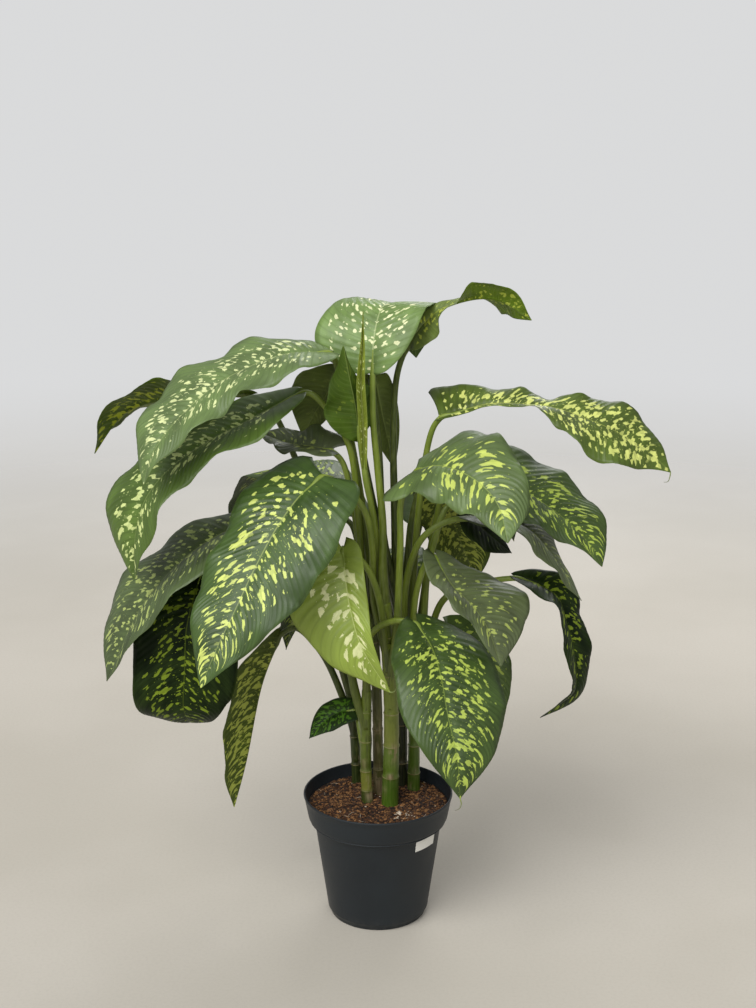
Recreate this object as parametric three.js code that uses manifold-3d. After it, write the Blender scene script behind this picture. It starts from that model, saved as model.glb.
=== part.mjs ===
// Potted dieffenbachia: a nursery pot, its soil, six canes and the leaves they carry.
// Millimetres, +Z up, front towards -Y, origin at the centre of the pot's underside.
import * as THREE from "three";
import { mergeVertices } from "three/addons/utils/BufferGeometryUtils.js";
import Module from "manifold-3d";

const wasm = await Module();
wasm.setup();

// ---- driving dimensions -------------------------------------------------------------
const GAP = 0.3; // clear space between two solids that rest against each other

const POT = {
  sides: 48,
  height: 233,
  rimRadius: 135,
  bandLowRadius: 126.5, // outside of the rim band just above its shoulder
  bandLow: 189,
  shoulderLow: 178, // where the shoulder meets the body
  bodyTopRadius: 115,
  bodyLowRadius: 91.5,
  bodyLow: 12,
  footRadius: 86.5,
  wall: 2,
  lip: 1.2, // bevel round the top of the rim
  floor: 3,
  drainCount: 8,
  drainRadius: 4.5,
  drainCircle: 60,
};

const LABEL = {
  from: 36, // degrees round from the front towards +X
  to: 60.5,
  low: 157,
  high: 177,
  thick: 0.6,
  steps: 6,
};

const SOIL = {
  sides: 24,
  rings: [26, 52, 78, 102, 120],
  height: 214,
  edgeHeight: 210,
  bump: 1.6,
};

const CANE = {
  sides: 10,
  buried: 150, // height of a cane's lower end inside the soil
  nodeBulge: 1.3,
  nodeHalf: 5,
};

const BLADE = {
  thick: 1.0,
  across: 4, // strips across the blade
  stripLength: 33, // length of one strip along the rib
  fewest: 8,
  most: 15,
  edge: 1.0, // smallest half width, at the drip tip
  round: 0.1, // share of the rib over which the base rounds out to its full width
  baseShare: 0.25, // usual width left at the very base, as a share
  lobe: 22, // usual length of the base lobes behind the stalk
  lively: 40, // a half this wide or wider has the full wave of its leaf
  fullLobe: 35, // a half narrower than this at its base has a shorter lobe
  widest: 0.36, // where a plain blade is widest, from base 0 to tip 1
};

const STALK = {
  sides: 6,
  low: 6.2, // radius where it leaves the cane
  high: 4.6, // radius at the blade
  end: 1.8, // radius where it fades into the rib
  sunk: 0.13, // how far along the rib it runs under the blade
  stepLength: 48,
};

// Colour and roughness of each material.
const LOOKS = {
  pot: { color: "#2c3238", roughness: 0.62 },
  label: { color: "#e9e8e2", roughness: 0.7 },
  soil: { color: "#4a3227", roughness: 0.95 },
  cane: { color: "#6f7a3f", roughness: 0.5 },
  leaf: { color: "#3f5427", roughness: 0.42 },
  paleLeaf: { color: "#8f9d4a", roughness: 0.42 },
};

// ---- canes: foot to top along each axis, radius at foot and at top, heights of the rings
const CANES = {
  a: {
    path: [[-16, 7, 150], [-22, 4, 300], [-20, 0, 430]],
    radius: [11.5, 9],
    nodes: [234, 272, 330, 388],
  },
  b: {
    path: [[20, -10, 150], [24, -12, 380], [12, -14, 600]],
    radius: [16, 11],
    nodes: [268, 328, 390, 462, 535],
  },
  c: {
    path: [[2, 35, 150], [-2, 33, 400], [-13, 26, 620]],
    radius: [10, 8],
    nodes: [262, 340, 425, 510],
  },
  d: {
    path: [[-38, 82, 150], [-44, 84, 320], [-55, 87, 480]],
    radius: [9, 7.5],
    nodes: [250, 305, 360, 415],
  },
  e: {
    path: [[44, 79, 150], [43, 81, 400], [33, 76, 640]],
    radius: [12, 8],
    nodes: [255, 330, 410, 490, 570],
  },
  f: {
    path: [[66, 58, 150], [66, 54, 340], [63, 47, 520]],
    radius: [12, 8.5],
    nodes: [245, 300, 360, 425],
  },
};

// ---- leaves -------------------------------------------------------------------------
// cane, at: the cane and the height at which the stalk leaves it; via: where the stalk runs.
// rib: the midrib from base to tip. width: full width of a plain blade, or right and left:
// half widths at even stations from base to tip, seen from above with the tip ahead.
// facing: compass direction, in degrees, that the blade is laid out along.
// roll, fold, curl: degrees; roll turns the blade about its rib, right side down; fold lifts
// each half at the rib; curl bends it back down towards the margin.
// wave: height, count and start of the waves along the margin. lobe: length of the base lobes.
const LEAVES = {
  crown: {
    cane: "b",
    at: 595,
    via: [[8, -14, 650], [8, -10, 740], [0, -2, 830], [-8, 0, 920]],
    rib: [
      [-10, 0, 1003], [-9, 8, 1040], [-4, 28, 1079], [8, 60, 1108], [30, 100, 1107],
      [50, 138, 1080], [62, 152, 1040], [68, 148, 1003],
    ],
    right: [30, 64, 80, 80, 70, 45, 1],
    left: [60, 104, 98, 78, 62, 42, 1],
    facing: 70,
    fold: [4, 8, 12],
    curl: 10,
    wave: [4, 3, 0.2],
    lobe: 4,
  },
  top_far: {
    cane: "e",
    at: 635,
    via: [[30, 74, 720], [27, 75, 850], [30, 75, 960], [42, 66, 1018]],
    rib: [
      [60, 55, 1050], [82, 57, 1082], [115, 46, 1110], [168, 20, 1128], [210, -10, 1125],
      [255, -35, 1099],
    ],
    right: [25, 42, 24, 46, 44, 1],
    left: [12, 14, 22, 48, 35, 1],
    facing: 0,
    roll: [60, 45, 5, -30, -40, -45],
    fold: [20, 15, 10],
    curl: 20,
    wave: [5, 3.5, 0.1],
  },
  upper_left: {
    cane: "c",
    at: 615,
    via: [[-18, 27, 680], [-34, 34, 800], [-50, 28, 900], [-64, 6, 990]],
    rib: [
      [-78, -8, 1040], [-145, -20, 1042], [-207, -40, 1026], [-275, -65, 992],
      [-335, -98, 940], [-372, -120, 890], [-386, -130, 842],
    ],
    right: [14, 70, 85, 98, 72, 1],
    left: [50, 84, 68, 66, 45, 1],
    roll: [-12, -16, -20],
    fold: [22, 12, 18],
    curl: 30,
    wave: [9, 4, 0.1],
    lobe: 12,
  },
  far_left: {
    cane: "d",
    at: 475,
    via: [[-62, 86, 560], [-88, 100, 680], [-140, 134, 800], [-185, 128, 905]],
    rib: [
      [-225, 110, 945], [-335, 115, 940], [-405, 110, 930], [-445, 100, 915], [-470, 90, 890],
      [-500, 75, 845],
    ],
    right: [20, 50, 55, 54, 40, 1],
    left: [20, 50, 62, 70, 52, 1],
    roll: [20, 35, 30, 10],
    fold: [25, 15, 30],
    curl: 20,
    wave: [7, 3, 0.4],
  },
  long_left: {
    cane: "c",
    at: 540,
    via: [[-26, 8, 600], [-34, 12, 740], [-46, 15, 860], [-78, 14, 925], [-115, 11, 966]],
    rib: [
      [-145, 10, 962], [-220, -10, 925], [-288, -35, 893], [-350, -55, 852], [-393, -70, 800],
      [-412, -75, 735], [-415, -80, 660],
    ],
    right: [35, 75, 85, 98, 90, 1],
    left: [45, 72, 62, 64, 60, 1],
    roll: [-10, -15, -20],
    fold: [18, 14, 25],
    curl: 30,
    wave: [7, 3.5, 0.6],
  },
  mid_left: {
    cane: "c",
    at: 520,
    via: [[-26, 42, 600], [-40, 38, 740], [-58, 36, 830]],
    rib: [[-80, 34, 862], [-125, 55, 865], [-165, 80, 865], [-215, 100, 880]],
    width: 100,
    roll: [-20, -15, -10],
    fold: [25, 20],
    curl: 20,
    wave: [6, 2.5, 0.3],
  },
  back_left: {
    cane: "e",
    at: 560,
    via: [[12, 92, 650], [-15, 90, 780], [-40, 72, 920], [-58, 58, 990]],
    rib: [[-70, 62, 998], [-90, 90, 950], [-115, 120, 905], [-135, 140, 860]],
    right: [15, 35, 38, 34, 22, 1],
    left: [20, 55, 62, 52, 30, 1],
    facing: 90,
    fold: [15, 20],
    curl: 20,
    wave: [4, 3, 0.2],
  },
  back_mid: {
    cane: "e",
    at: 590,
    via: [[10, 68, 690], [2, 62, 850], [-8, 60, 950]],
    rib: [[-12, 74, 985], [-4, 92, 972], [4, 102, 930], [16, 110, 870], [30, 117, 805]],
    width: 60,
    facing: 90,
    fold: [10, 10],
    curl: 20,
    wave: [3, 3, 0.2],
  },
  spear: {
    cane: "b",
    at: 540,
    via: [[8, 4, 610], [-6, -2, 740], [-21, -10, 820]],
    rib: [
      [-24, -12, 860], [-26, -12, 930], [-29, -12, 990], [-26, -12, 1050], [-25, -12, 1110],
    ],
    width: 28,
    facing: 90,
    fold: [70, 70, 78],
    curl: 30,
    wave: [1, 4, 0.2],
  },
  young: {
    cane: "c",
    at: 560,
    via: [[0, 22, 640], [-8, 16, 740], [-24, 6, 840]],
    rib: [[-33, 0, 895], [-40, -8, 950], [-50, -20, 1005], [-58, -30, 1055]],
    right: [18, 50, 56, 42, 20, 1],
    left: [12, 42, 42, 18, 6, 1],
    facing: -60,
    fold: [20, 12, 12],
    curl: 20,
    wave: [4, 3, 0.2],
  },
  front_left: {
    cane: "b",
    at: 515,
    via: [[-7, -8, 600], [-10, -23, 700], [-22, -34, 768], [-54, -44, 812]],
    rib: [
      [-92, -61, 840], [-132, -94, 812], [-170, -130, 765], [-205, -165, 705],
      [-235, -195, 645], [-265, -220, 585], [-290, -235, 525],
    ],
    right: [85, 98, 88, 85, 60, 1],
    left: [90, 108, 112, 92, 52, 1],
    facing: -110,
    fold: [10, 8, 12],
    curl: 25,
    wave: [8, 4, 0.2],
    baseShare: 0.6,
  },
  left_dark: {
    cane: "d",
    at: 385,
    via: [[-70, 78, 460], [-95, 62, 610], [-130, 42, 705], [-175, 28, 742]],
    rib: [
      [-225, 20, 740], [-300, -5, 706], [-365, -25, 655], [-420, -40, 585], [-475, -50, 465],
    ],
    right: [35, 75, 90, 110, 90, 1],
    left: [35, 75, 85, 72, 45, 1],
    roll: [-10, -10, -10],
    fold: [15, 15, 20],
    curl: 25,
    wave: [6, 3, 0.5],
  },
  low_left: {
    cane: "a",
    at: 370,
    via: [[-40, 0, 420], [-70, 6, 550], [-130, 20, 650], [-210, 36, 690], [-265, 44, 688]],
    rib: [
      [-305, 40, 660], [-320, 0, 615], [-335, -30, 555], [-340, -35, 480], [-345, -30, 410],
      [-340, 0, 370], [-340, 40, 350],
    ],
    right: [30, 85, 92, 92, 78, 1],
    left: [30, 85, 92, 92, 70, 1],
    facing: -90,
    fold: [8, 5, 8],
    curl: 20,
    wave: [5, 3, 0.2],
  },
  edge_left: {
    cane: "d",
    at: 325,
    via: [[-66, 92, 380], [-100, 104, 455], [-145, 115, 503]],
    rib: [[-180, 120, 495], [-220, 135, 385], [-250, 140, 235], [-275, 140, 135]],
    right: [20, 45, 55, 50, 38, 1],
    left: [20, 60, 68, 62, 46, 1],
    facing: 180,
    roll: 20,
    fold: [40, 35, 35],
    curl: 15,
    wave: [4, 3, 0.2],
  },
  tip_back: {
    cane: "d",
    at: 370,
    via: [[-50, 110, 460], [-58, 122, 570], [-74, 122, 650]],
    rib: [[-95, 125, 685], [-135, 165, 590], [-160, 190, 510], [-175, 205, 430]],
    width: 100,
    fold: [15, 15],
    curl: 25,
    wave: [5, 3, 0.2],
    lobe: 12,
  },
  pale: {
    cane: "b",
    at: 500,
    via: [[6, -28, 585], [-7, -42, 645], [-28, -55, 687]],
    rib: [
      [-60, -70, 715], [-55, -105, 670], [-45, -125, 615], [-25, -140, 555], [20, -140, 480],
    ],
    right: [40, 98, 100, 72, 38, 1],
    left: [30, 34, 32, 25, 15, 1],
    facing: -100,
    fold: [15, 15, 20],
    curl: 20,
    wave: [5, 3, 0.2],
  },
  small_low: {
    cane: "a",
    at: 305,
    via: [[-31, 18, 338], [-36, 30, 362]],
    rib: [[-45, 36, 376], [-72, 40, 370], [-100, 35, 352], [-125, 25, 325]],
    width: 62,
    roll: [-35, -35],
    fold: [10, 10],
    curl: 20,
    wave: [2, 2, 0.2],
  },
  front_right: {
    cane: "a",
    at: 425,
    via: [[-21, -8, 480], [-18, -26, 530], [-2, -46, 562], [30, -64, 582]],
    rib: [
      [65, -80, 585], [90, -130, 560], [105, -180, 525], [115, -225, 475], [130, -260, 410],
      [135, -270, 345],
    ],
    right: [30, 72, 80, 74, 45, 1],
    left: [40, 92, 112, 108, 74, 1],
    fold: [10, 8, 10],
    curl: 30,
    wave: [5, 3, 0.2],
  },
  behind_right: {
    cane: "f",
    at: 345,
    via: [[84, 44, 410], [92, 31, 500], [105, 19, 545]],
    rib: [[120, 10, 550], [165, 0, 505], [195, -10, 450], [210, -15, 405], [220, -15, 375]],
    right: [20, 40, 42, 36, 22, 1],
    left: [20, 52, 60, 52, 32, 1],
    facing: -70,
    fold: [10, 10],
    curl: 20,
    wave: [4, 3, 0.2],
  },
  right_mid: {
    cane: "f",
    at: 395,
    via: [[60, 24, 465], [64, 14, 580], [76, 2, 645], [90, -10, 680]],
    rib: [
      [100, -20, 685], [125, -65, 650], [160, -110, 625], [185, -150, 595], [205, -175, 540],
    ],
    right: [30, 38, 40, 36, 22, 1],
    left: [22, 52, 90, 100, 66, 1],
    fold: [20, 12],
    curl: 20,
    wave: [6, 3, 0.2],
  },
  right_hang: {
    cane: "f",
    at: 415,
    via: [[88, 58, 490], [112, 60, 570], [150, 60, 600], [200, 56, 615]],
    rib: [
      [245, 50, 625], [285, 40, 615], [320, 25, 595], [334, 10, 555], [347, 5, 510],
      [354, 5, 455], [350, 0, 425], [320, -5, 400], [290, -10, 380],
    ],
    right: [15, 42, 45, 40, 28, 1],
    left: [15, 42, 45, 40, 28, 1],
    facing: 0,
    roll: [25, 30, 35, 35],
    fold: [25, 20],
    curl: 20,
    wave: [5, 3, 0.2],
  },
  right_big: {
    cane: "b",
    at: 470,
    via: [[32, -32, 545], [38, -38, 700], [40, -38, 790]],
    rib: [
      [62, -52, 846], [92, -80, 862], [125, -115, 865], [165, -150, 850], [195, -185, 820],
      [208, -228, 770],
    ],
    right: [95, 76, 72, 65, 42, 1],
    left: [110, 106, 102, 76, 48, 1],
    roll: [25, 30, 24],
    fold: [10, 15],
    curl: 30,
    wave: [7, 4, 0.2],
    baseShare: 0.55,
    lobe: 38,
  },
  right_far: {
    cane: "f",
    at: 450,
    via: [[76, 72, 530], [96, 76, 680], [118, 66, 790], [138, 62, 838]],
    rib: [[160, 60, 850], [250, 30, 795], [320, 0, 750], [365, -30, 710], [385, -50, 675]],
    right: [30, 70, 75, 60, 38, 1],
    left: [30, 76, 88, 84, 62, 1],
    roll: [15, 20, 20],
    fold: [15, 12],
    curl: 25,
    wave: [7, 3.5, 0.2],
  },
  right_under: {
    cane: "f",
    at: 440,
    via: [[48, 36, 515], [50, 31, 620], [74, 26, 698], [120, 22, 735]],
    rib: [[170, 20, 745], [230, -10, 745], [270, -20, 725], [315, -25, 670], [355, -25, 605]],
    width: 130,
    fold: [20, 10],
    curl: 30,
    wave: [5, 3, 0.2],
  },
  speckled: {
    cane: "e",
    at: 560,
    via: [[52, 86, 640], [60, 88, 720], [78, 90, 785]],
    rib: [[104, 92, 803], [128, 122, 740], [150, 146, 670], [184, 162, 585]],
    right: [24, 46, 62, 64, 50, 1],
    left: [34, 66, 78, 72, 52, 1],
    facing: 60,
    fold: [10, 10],
    curl: 25,
    wave: [6, 3, 0.2],
  },
  back_right: {
    cane: "f",
    at: 465,
    via: [[80, 40, 535], [88, 38, 640], [112, 46, 735], [132, 56, 760]],
    rib: [[150, 58, 752], [176, 62, 722], [208, 70, 690], [240, 80, 660]],
    width: 86,
    roll: 42,
    fold: [10, 10],
    curl: 25,
    wave: [4, 2.5, 0.2],
    lobe: 8,
  },
  top_right: {
    cane: "f",
    at: 515,
    via: [[62, 50, 600], [67, 54, 690], [76, 50, 790], [90, 43, 880]],
    rib: [
      [105, 30, 920], [185, 0, 950], [240, -20, 955], [305, -40, 950], [390, -60, 920],
      [450, -70, 885], [490, -80, 850],
    ],
    right: [10, 12, 14, 42, 76, 58, 1],
    left: [92, 48, 38, 36, 60, 50, 1],
    roll: [30, 30, 12, 30, 34, 30],
    fold: [16, 16, 12, 8],
    curl: 20,
    wave: [9, 5, 0.2],
    baseShare: 0.75,
    lobe: 26,
  },
  back_a: {
    cane: "d",
    at: 450,
    via: [[-38, 106, 520], [-32, 134, 620], [-44, 156, 682]],
    rib: [
      [-60, 165, 705], [-120, 238, 760], [-185, 300, 760], [-250, 350, 700], [-290, 380, 615],
    ],
    width: 180,
    fold: [15, 12, 15],
    curl: 25,
    wave: [6, 3, 0.2],
  },
  back_b: {
    cane: "e",
    at: 500,
    via: [[56, 112, 560], [68, 160, 635], [78, 190, 680]],
    rib: [[90, 205, 690], [135, 262, 740], [185, 312, 735], [235, 364, 675], [270, 392, 590]],
    width: 180,
    fold: [15, 12, 15],
    curl: 25,
    wave: [6, 3, 0.2],
  },
  back_c: {
    cane: "e",
    at: 430,
    via: [[38, 106, 490], [28, 134, 540]],
    rib: [[20, 160, 560], [10, 240, 600], [-5, 315, 590], [-15, 380, 520], [-20, 410, 430]],
    width: 170,
    fold: [15, 12, 15],
    curl: 25,
    wave: [6, 3, 0.2],
  },
};

// ---- curves -------------------------------------------------------------------------
const v3 = (p) => new THREE.Vector3(p[0], p[1], p[2]);
const rad = THREE.MathUtils.degToRad;
const lerp = THREE.MathUtils.lerp;
const clamp = THREE.MathUtils.clamp;

// Value at t of four neighbours of an even spline.
function spline(a, b, c, d, t) {
  const straight = 2 * b + (c - a) * t;
  const square = (2 * a - 5 * b + 4 * c - d) * t * t;
  const cube = (3 * b - a - 3 * c + d) * t * t * t;
  return 0.5 * (straight + square + cube);
}

// A list with one more value mirrored past each end.
function mirrored(list) {
  const first = 2 * list[0] - list[1];
  const last = 2 * list.at(-1) - list.at(-2);
  return [first, ...list, last];
}

// A station list (or one value) read smoothly at s from 0 to 1.
function station(list, s) {
  if (typeof list === "number") return list;
  if (list.length === 1) return list[0];
  if (list.length === 2) return lerp(list[0], list[1], s);
  const padded = mirrored(list);
  const spans = list.length - 1;
  const k = Math.min(Math.floor(s * spans), spans - 1);
  return spline(...padded.slice(k, k + 4), s * spans - k);
}

// A smooth curve through points, read by its true length from 0 to 1.
class Line {
  constructor(points, samples = 240) {
    const axes = [0, 1, 2].map((i) => points.map((p) => p[i]));
    this.samples = Array.from({ length: samples + 1 }, (_, i) =>
      v3(axes.map((axis) => station(axis, i / samples))),
    );
    this.reach = [0];
    for (let i = 1; i <= samples; i++) {
      const step = this.samples[i].distanceTo(this.samples[i - 1]);
      this.reach.push(this.reach[i - 1] + step);
    }
    this.length = this.reach[samples];
  }

  at(s) {
    const goal = clamp(s, 0, 1) * this.length;
    let i = 1;
    while (i < this.reach.length - 1 && this.reach[i] < goal) i++;
    const span = this.reach[i] - this.reach[i - 1];
    const t = span > 0 ? (goal - this.reach[i - 1]) / span : 0;
    return this.samples[i - 1].clone().lerp(this.samples[i], t);
  }

  along(s) {
    const near = 0.002;
    return this.at(s + near).sub(this.at(s - near)).normalize();
  }
}

// ---- solids from points -------------------------------------------------------------
function solid(points, faces) {
  const geometry = new THREE.BufferGeometry();
  const flat = points.flatMap((p) => [p.x, p.y, p.z]);
  geometry.setAttribute("position", new THREE.Float32BufferAttribute(flat, 3));
  geometry.setIndex(faces.flat());
  const made = toManifold(geometry);
  if (made.volume() > 0) return made;
  return solid(points, faces.map(([a, b, c]) => [a, c, b]));
}

function toManifold(geometry) {
  const merged = mergeVertices(geometry, 1e-4);
  return new wasm.Manifold(
    new wasm.Mesh({
      numProp: 3,
      vertProperties: merged.attributes.position.array,
      triVerts: new Uint32Array(merged.index.array),
    }),
  );
}

function toMesh(made, name, look) {
  const data = made.getMesh();
  const geometry = new THREE.BufferGeometry();
  const places = new Float32Array(data.vertProperties);
  geometry.setAttribute("position", new THREE.BufferAttribute(places, 3));
  geometry.setIndex(new THREE.BufferAttribute(new Uint32Array(data.triVerts), 1));
  const material = new THREE.MeshStandardMaterial({ ...LOOKS[look], metalness: 0 });
  const mesh = new THREE.Mesh(geometry, material);
  mesh.name = name;
  return mesh;
}

// A closed skin over rings of equal count, with a point at each end.
function skinned(rings, first, last) {
  const n = rings[0].length;
  const points = [...rings.flat(), first, last];
  const firstAt = rings.length * n;
  const faces = [];
  for (let k = 0; k < n; k++) {
    const next = (k + 1) % n;
    faces.push([firstAt, next, k]);
    for (let i = 0; i < rings.length - 1; i++) {
      const low = i * n;
      faces.push([low + k, low + next, low + n + next]);
      faces.push([low + k, low + n + next, low + n + k]);
    }
    const top = (rings.length - 1) * n;
    faces.push([firstAt + 1, top + k, top + next]);
  }
  return solid(points, faces);
}

// A profile of [radius, height] pairs turned about the Z axis; it starts and ends on the axis.
function turned(profile, sides, shift = () => 0) {
  const inner = profile.slice(1, -1);
  const rings = inner.map(([radius, height]) =>
    Array.from({ length: sides }, (_, k) => {
      const turn = (k / sides) * Math.PI * 2;
      const x = radius * Math.sin(turn);
      const y = -radius * Math.cos(turn);
      return new THREE.Vector3(x, y, height + shift(x, y, height));
    }),
  );
  const ends = [profile[0], profile.at(-1)].map(([, height]) =>
    new THREE.Vector3(0, 0, height + shift(0, 0, height)),
  );
  return skinned(rings, ends[0], ends[1]);
}

// A round bar along a line; radiusAt(s) gives its radius.
function bar(line, sides, stops, radiusAt) {
  let across = new THREE.Vector3(0, 1, 0).cross(line.along(stops[0]));
  if (across.length() < 0.2) across = new THREE.Vector3(1, 0, 0);
  const rings = stops.map((s) => {
    const ahead = line.along(s);
    across = across.clone().addScaledVector(ahead, -across.dot(ahead)).normalize();
    const up = ahead.clone().cross(across);
    return Array.from({ length: sides }, (_, k) => {
      const turn = (k / sides) * Math.PI * 2;
      return line
        .at(s)
        .addScaledVector(across, Math.cos(turn) * radiusAt(s))
        .addScaledVector(up, Math.sin(turn) * radiusAt(s));
    });
  });
  return skinned(rings, line.at(stops[0]), line.at(stops.at(-1)));
}

// ---- pot, label, soil ---------------------------------------------------------------
function bodyRadius(z) {
  const t = (z - POT.bodyLow) / (POT.shoulderLow - POT.bodyLow);
  return lerp(POT.bodyLowRadius, POT.bodyTopRadius, t);
}

// The inside of the pot from its floor to its rim.
function potInside(less = 0) {
  const w = POT.wall + less;
  return [
    [POT.footRadius - w - 1.5, POT.floor + less],
    [POT.bodyLowRadius - w, POT.bodyLow + 1],
    [POT.bodyTopRadius - w, POT.shoulderLow + 1],
    [POT.bandLowRadius - w, POT.bandLow + 1],
  ];
}

function potSolid() {
  const { lip } = POT;
  const inside = potInside();
  const made = turned(
    [
      [0, 0],
      [POT.footRadius - 1, 0],
      [POT.footRadius, 1],
      [POT.footRadius + 1, 6],
      [POT.bodyLowRadius, POT.bodyLow],
      [POT.bodyTopRadius, POT.shoulderLow],
      [POT.bodyTopRadius + 5, POT.shoulderLow + 3.5],
      [POT.bandLowRadius - 2.5, POT.bandLow - 3.5],
      [POT.bandLowRadius, POT.bandLow + 2],
      [POT.rimRadius - 0.5, POT.height - lip],
      [POT.rimRadius - lip, POT.height],
      [POT.rimRadius - POT.wall, POT.height],
      [POT.rimRadius - POT.wall - lip, POT.height - lip],
      ...inside.reverse(),
      [0, POT.floor],
    ],
    POT.sides,
  );
  const drains = Array.from({ length: POT.drainCount }, (_, k) => {
    const turn = ((k + 0.5) / POT.drainCount) * Math.PI * 2;
    const x = POT.drainCircle * Math.cos(turn);
    const y = POT.drainCircle * Math.sin(turn);
    const hole = new Line([[x, y, -2], [x, y, 2], [x, y, POT.floor + 2]]);
    return bar(hole, 8, [0, 1], () => POT.drainRadius);
  });
  return drains.reduce((pot, hole) => pot.subtract(hole), made);
}

function labelSolid() {
  const rings = [];
  for (let i = 0; i <= LABEL.steps; i++) {
    const turn = rad(lerp(LABEL.from, LABEL.to, i / LABEL.steps));
    const corner = (out, z) => {
      const r = bodyRadius(z) + GAP + out;
      return new THREE.Vector3(r * Math.sin(turn), -r * Math.cos(turn), z);
    };
    const low = LABEL.low;
    const high = LABEL.high;
    rings.push([corner(0, low), corner(LABEL.thick, low),
      corner(LABEL.thick, high), corner(0, high)]);
  }
  const middle = (ring) =>
    ring.reduce((sum, p) => sum.add(p), new THREE.Vector3()).multiplyScalar(1 / 4);
  return skinned(rings, middle(rings[0]), middle(rings.at(-1)));
}

function soilBump(x, y, z) {
  if (z < SOIL.edgeHeight - 1) return 0;
  const reach = Math.hypot(x, y) / POT.bandLowRadius;
  const fade = clamp((1 - reach) * 5, 0, 1);
  const swell = Math.sin(x / 13 + 0.6) * Math.cos(y / 17) + Math.sin((x + y) / 23);
  return SOIL.bump * swell * fade;
}

function soilSolid() {
  const inside = potInside(GAP);
  const bandRise = POT.height - POT.lip - POT.bandLow - 1;
  const climb = (SOIL.edgeHeight - POT.bandLow - 1) / bandRise;
  const edge = lerp(POT.bandLowRadius, POT.rimRadius - POT.lip, climb) - POT.wall - GAP;
  const top = SOIL.rings.map((radius) => {
    const reach = radius / edge;
    return [radius, lerp(SOIL.height, SOIL.edgeHeight, reach * reach)];
  });
  const block = turned(
    [
      [0, POT.floor + GAP],
      ...inside,
      [edge, SOIL.edgeHeight],
      ...top.reverse(),
      [0, SOIL.height],
    ],
    SOIL.sides,
    soilBump,
  );
  return Object.values(CANES).reduce(
    (soil, cane) => soil.subtract(caneSolid(cane, GAP)),
    block,
  );
}

// ---- canes --------------------------------------------------------------------------
function caneSolid(cane, more = 0) {
  const line = new Line(cane.path);
  const low = cane.path[0][2];
  const high = cane.path.at(-1)[2];
  const sAt = (z) => (z - low) / (high - low);
  const grown = more / line.length;
  const heights = [low, 200];
  for (const node of cane.nodes) {
    heights.push(node - CANE.nodeHalf, node, node + CANE.nodeHalf);
  }
  heights.push(high - 3, high);
  const radiusAt = (s) => {
    const z = low + s * (high - low);
    const bulge = cane.nodes.some((node) => Math.abs(node - z) < 0.5) ? CANE.nodeBulge : 0;
    const tip = z > high - 1 ? -1.5 : 0;
    return lerp(cane.radius[0], cane.radius[1], s) + bulge + tip + more;
  };
  const stops = heights.map((z) => clamp(sAt(z), 0, 1));
  if (more === 0) return bar(line, CANE.sides, stops, radiusAt);
  const longer = new Line([
    line.at(0).addScaledVector(line.along(0), -more).toArray(),
    ...cane.path.slice(1, -1),
    line.at(1).addScaledVector(line.along(1), more).toArray(),
  ]);
  return bar(longer, CANE.sides, stops, (s) => radiusAt(s) + grown);
}

// ---- leaves -------------------------------------------------------------------------
// Half width of a plain blade, as a share of its widest.
function outline(s) {
  if (s < BLADE.widest) {
    const t = 1 - s / BLADE.widest;
    return 0.3 + 0.7 * Math.sqrt(1 - t * t);
  }
  const t = (s - BLADE.widest) / (1 - BLADE.widest);
  return (1 - t * t) ** 1.12;
}

function halfWidth(leaf, side, s) {
  const list = side > 0 ? leaf.right : leaf.left;
  if (!list) return Math.max((leaf.width / 2) * outline(s), BLADE.edge);
  const t = clamp(1 - s / BLADE.round, 0, 1);
  const rounded = lerp(leaf.baseShare ?? BLADE.baseShare, 1, Math.sqrt(1 - t * t));
  return Math.max(station(list, s) * rounded, BLADE.edge);
}

// Direction across the blade and the direction its upper side faces, at s along the rib.
function crossFrame(leaf, line, s) {
  const first = leaf.rib[0];
  const last = leaf.rib.at(-1);
  const facing = leaf.facing === undefined
    ? Math.atan2(last[1] - first[1], last[0] - first[0])
    : rad(leaf.facing);
  const ahead = line.along(s);
  const side = new THREE.Vector3(Math.sin(facing), -Math.cos(facing), 0);
  side.addScaledVector(ahead, -side.dot(ahead)).normalize();
  const upper = side.clone().cross(ahead);
  const roll = rad(station(leaf.roll ?? 0, s));
  const across = side.clone().multiplyScalar(Math.cos(roll));
  across.addScaledVector(upper, -Math.sin(roll));
  const out = upper.multiplyScalar(Math.cos(roll));
  out.addScaledVector(side, Math.sin(roll));
  return { ahead, across, out };
}

// A point of the blade's middle surface; t runs from the left margin -1 to the right one 1.
function bladePoint(leaf, line, frame, s, t) {
  const side = t >= 0 ? 1 : -1;
  const a = Math.abs(t);
  const wide = halfWidth(leaf, side, s);
  const fold = rad(station(leaf.fold, s));
  const curl = rad(leaf.curl);
  const outward = (wide * (Math.sin(fold) - Math.sin(fold - curl * a))) / curl;
  const lift = (wide * (Math.cos(fold - curl * a) - Math.cos(fold))) / curl;
  const [height, count, start] = leaf.wave;
  const turn = 2 * Math.PI * (count * s + start + (side > 0 ? 0 : 0.35));
  const sway = height * Math.min(wide / BLADE.lively, 1);
  const ripple = sway * a ** 2.2 * Math.sin(turn) * Math.sin(Math.PI * s) ** 0.6;
  const list = side > 0 ? leaf.right : leaf.left;
  const full = list ? clamp(list[0] / BLADE.fullLobe, 0, 1) : 1;
  const back = full * (leaf.lobe ?? BLADE.lobe) * a ** 1.5 * (1 - s) ** 7;
  return line
    .at(s)
    .addScaledVector(frame.across, side * outward)
    .addScaledVector(frame.out, lift + ripple)
    .addScaledVector(frame.ahead, -back);
}

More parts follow.
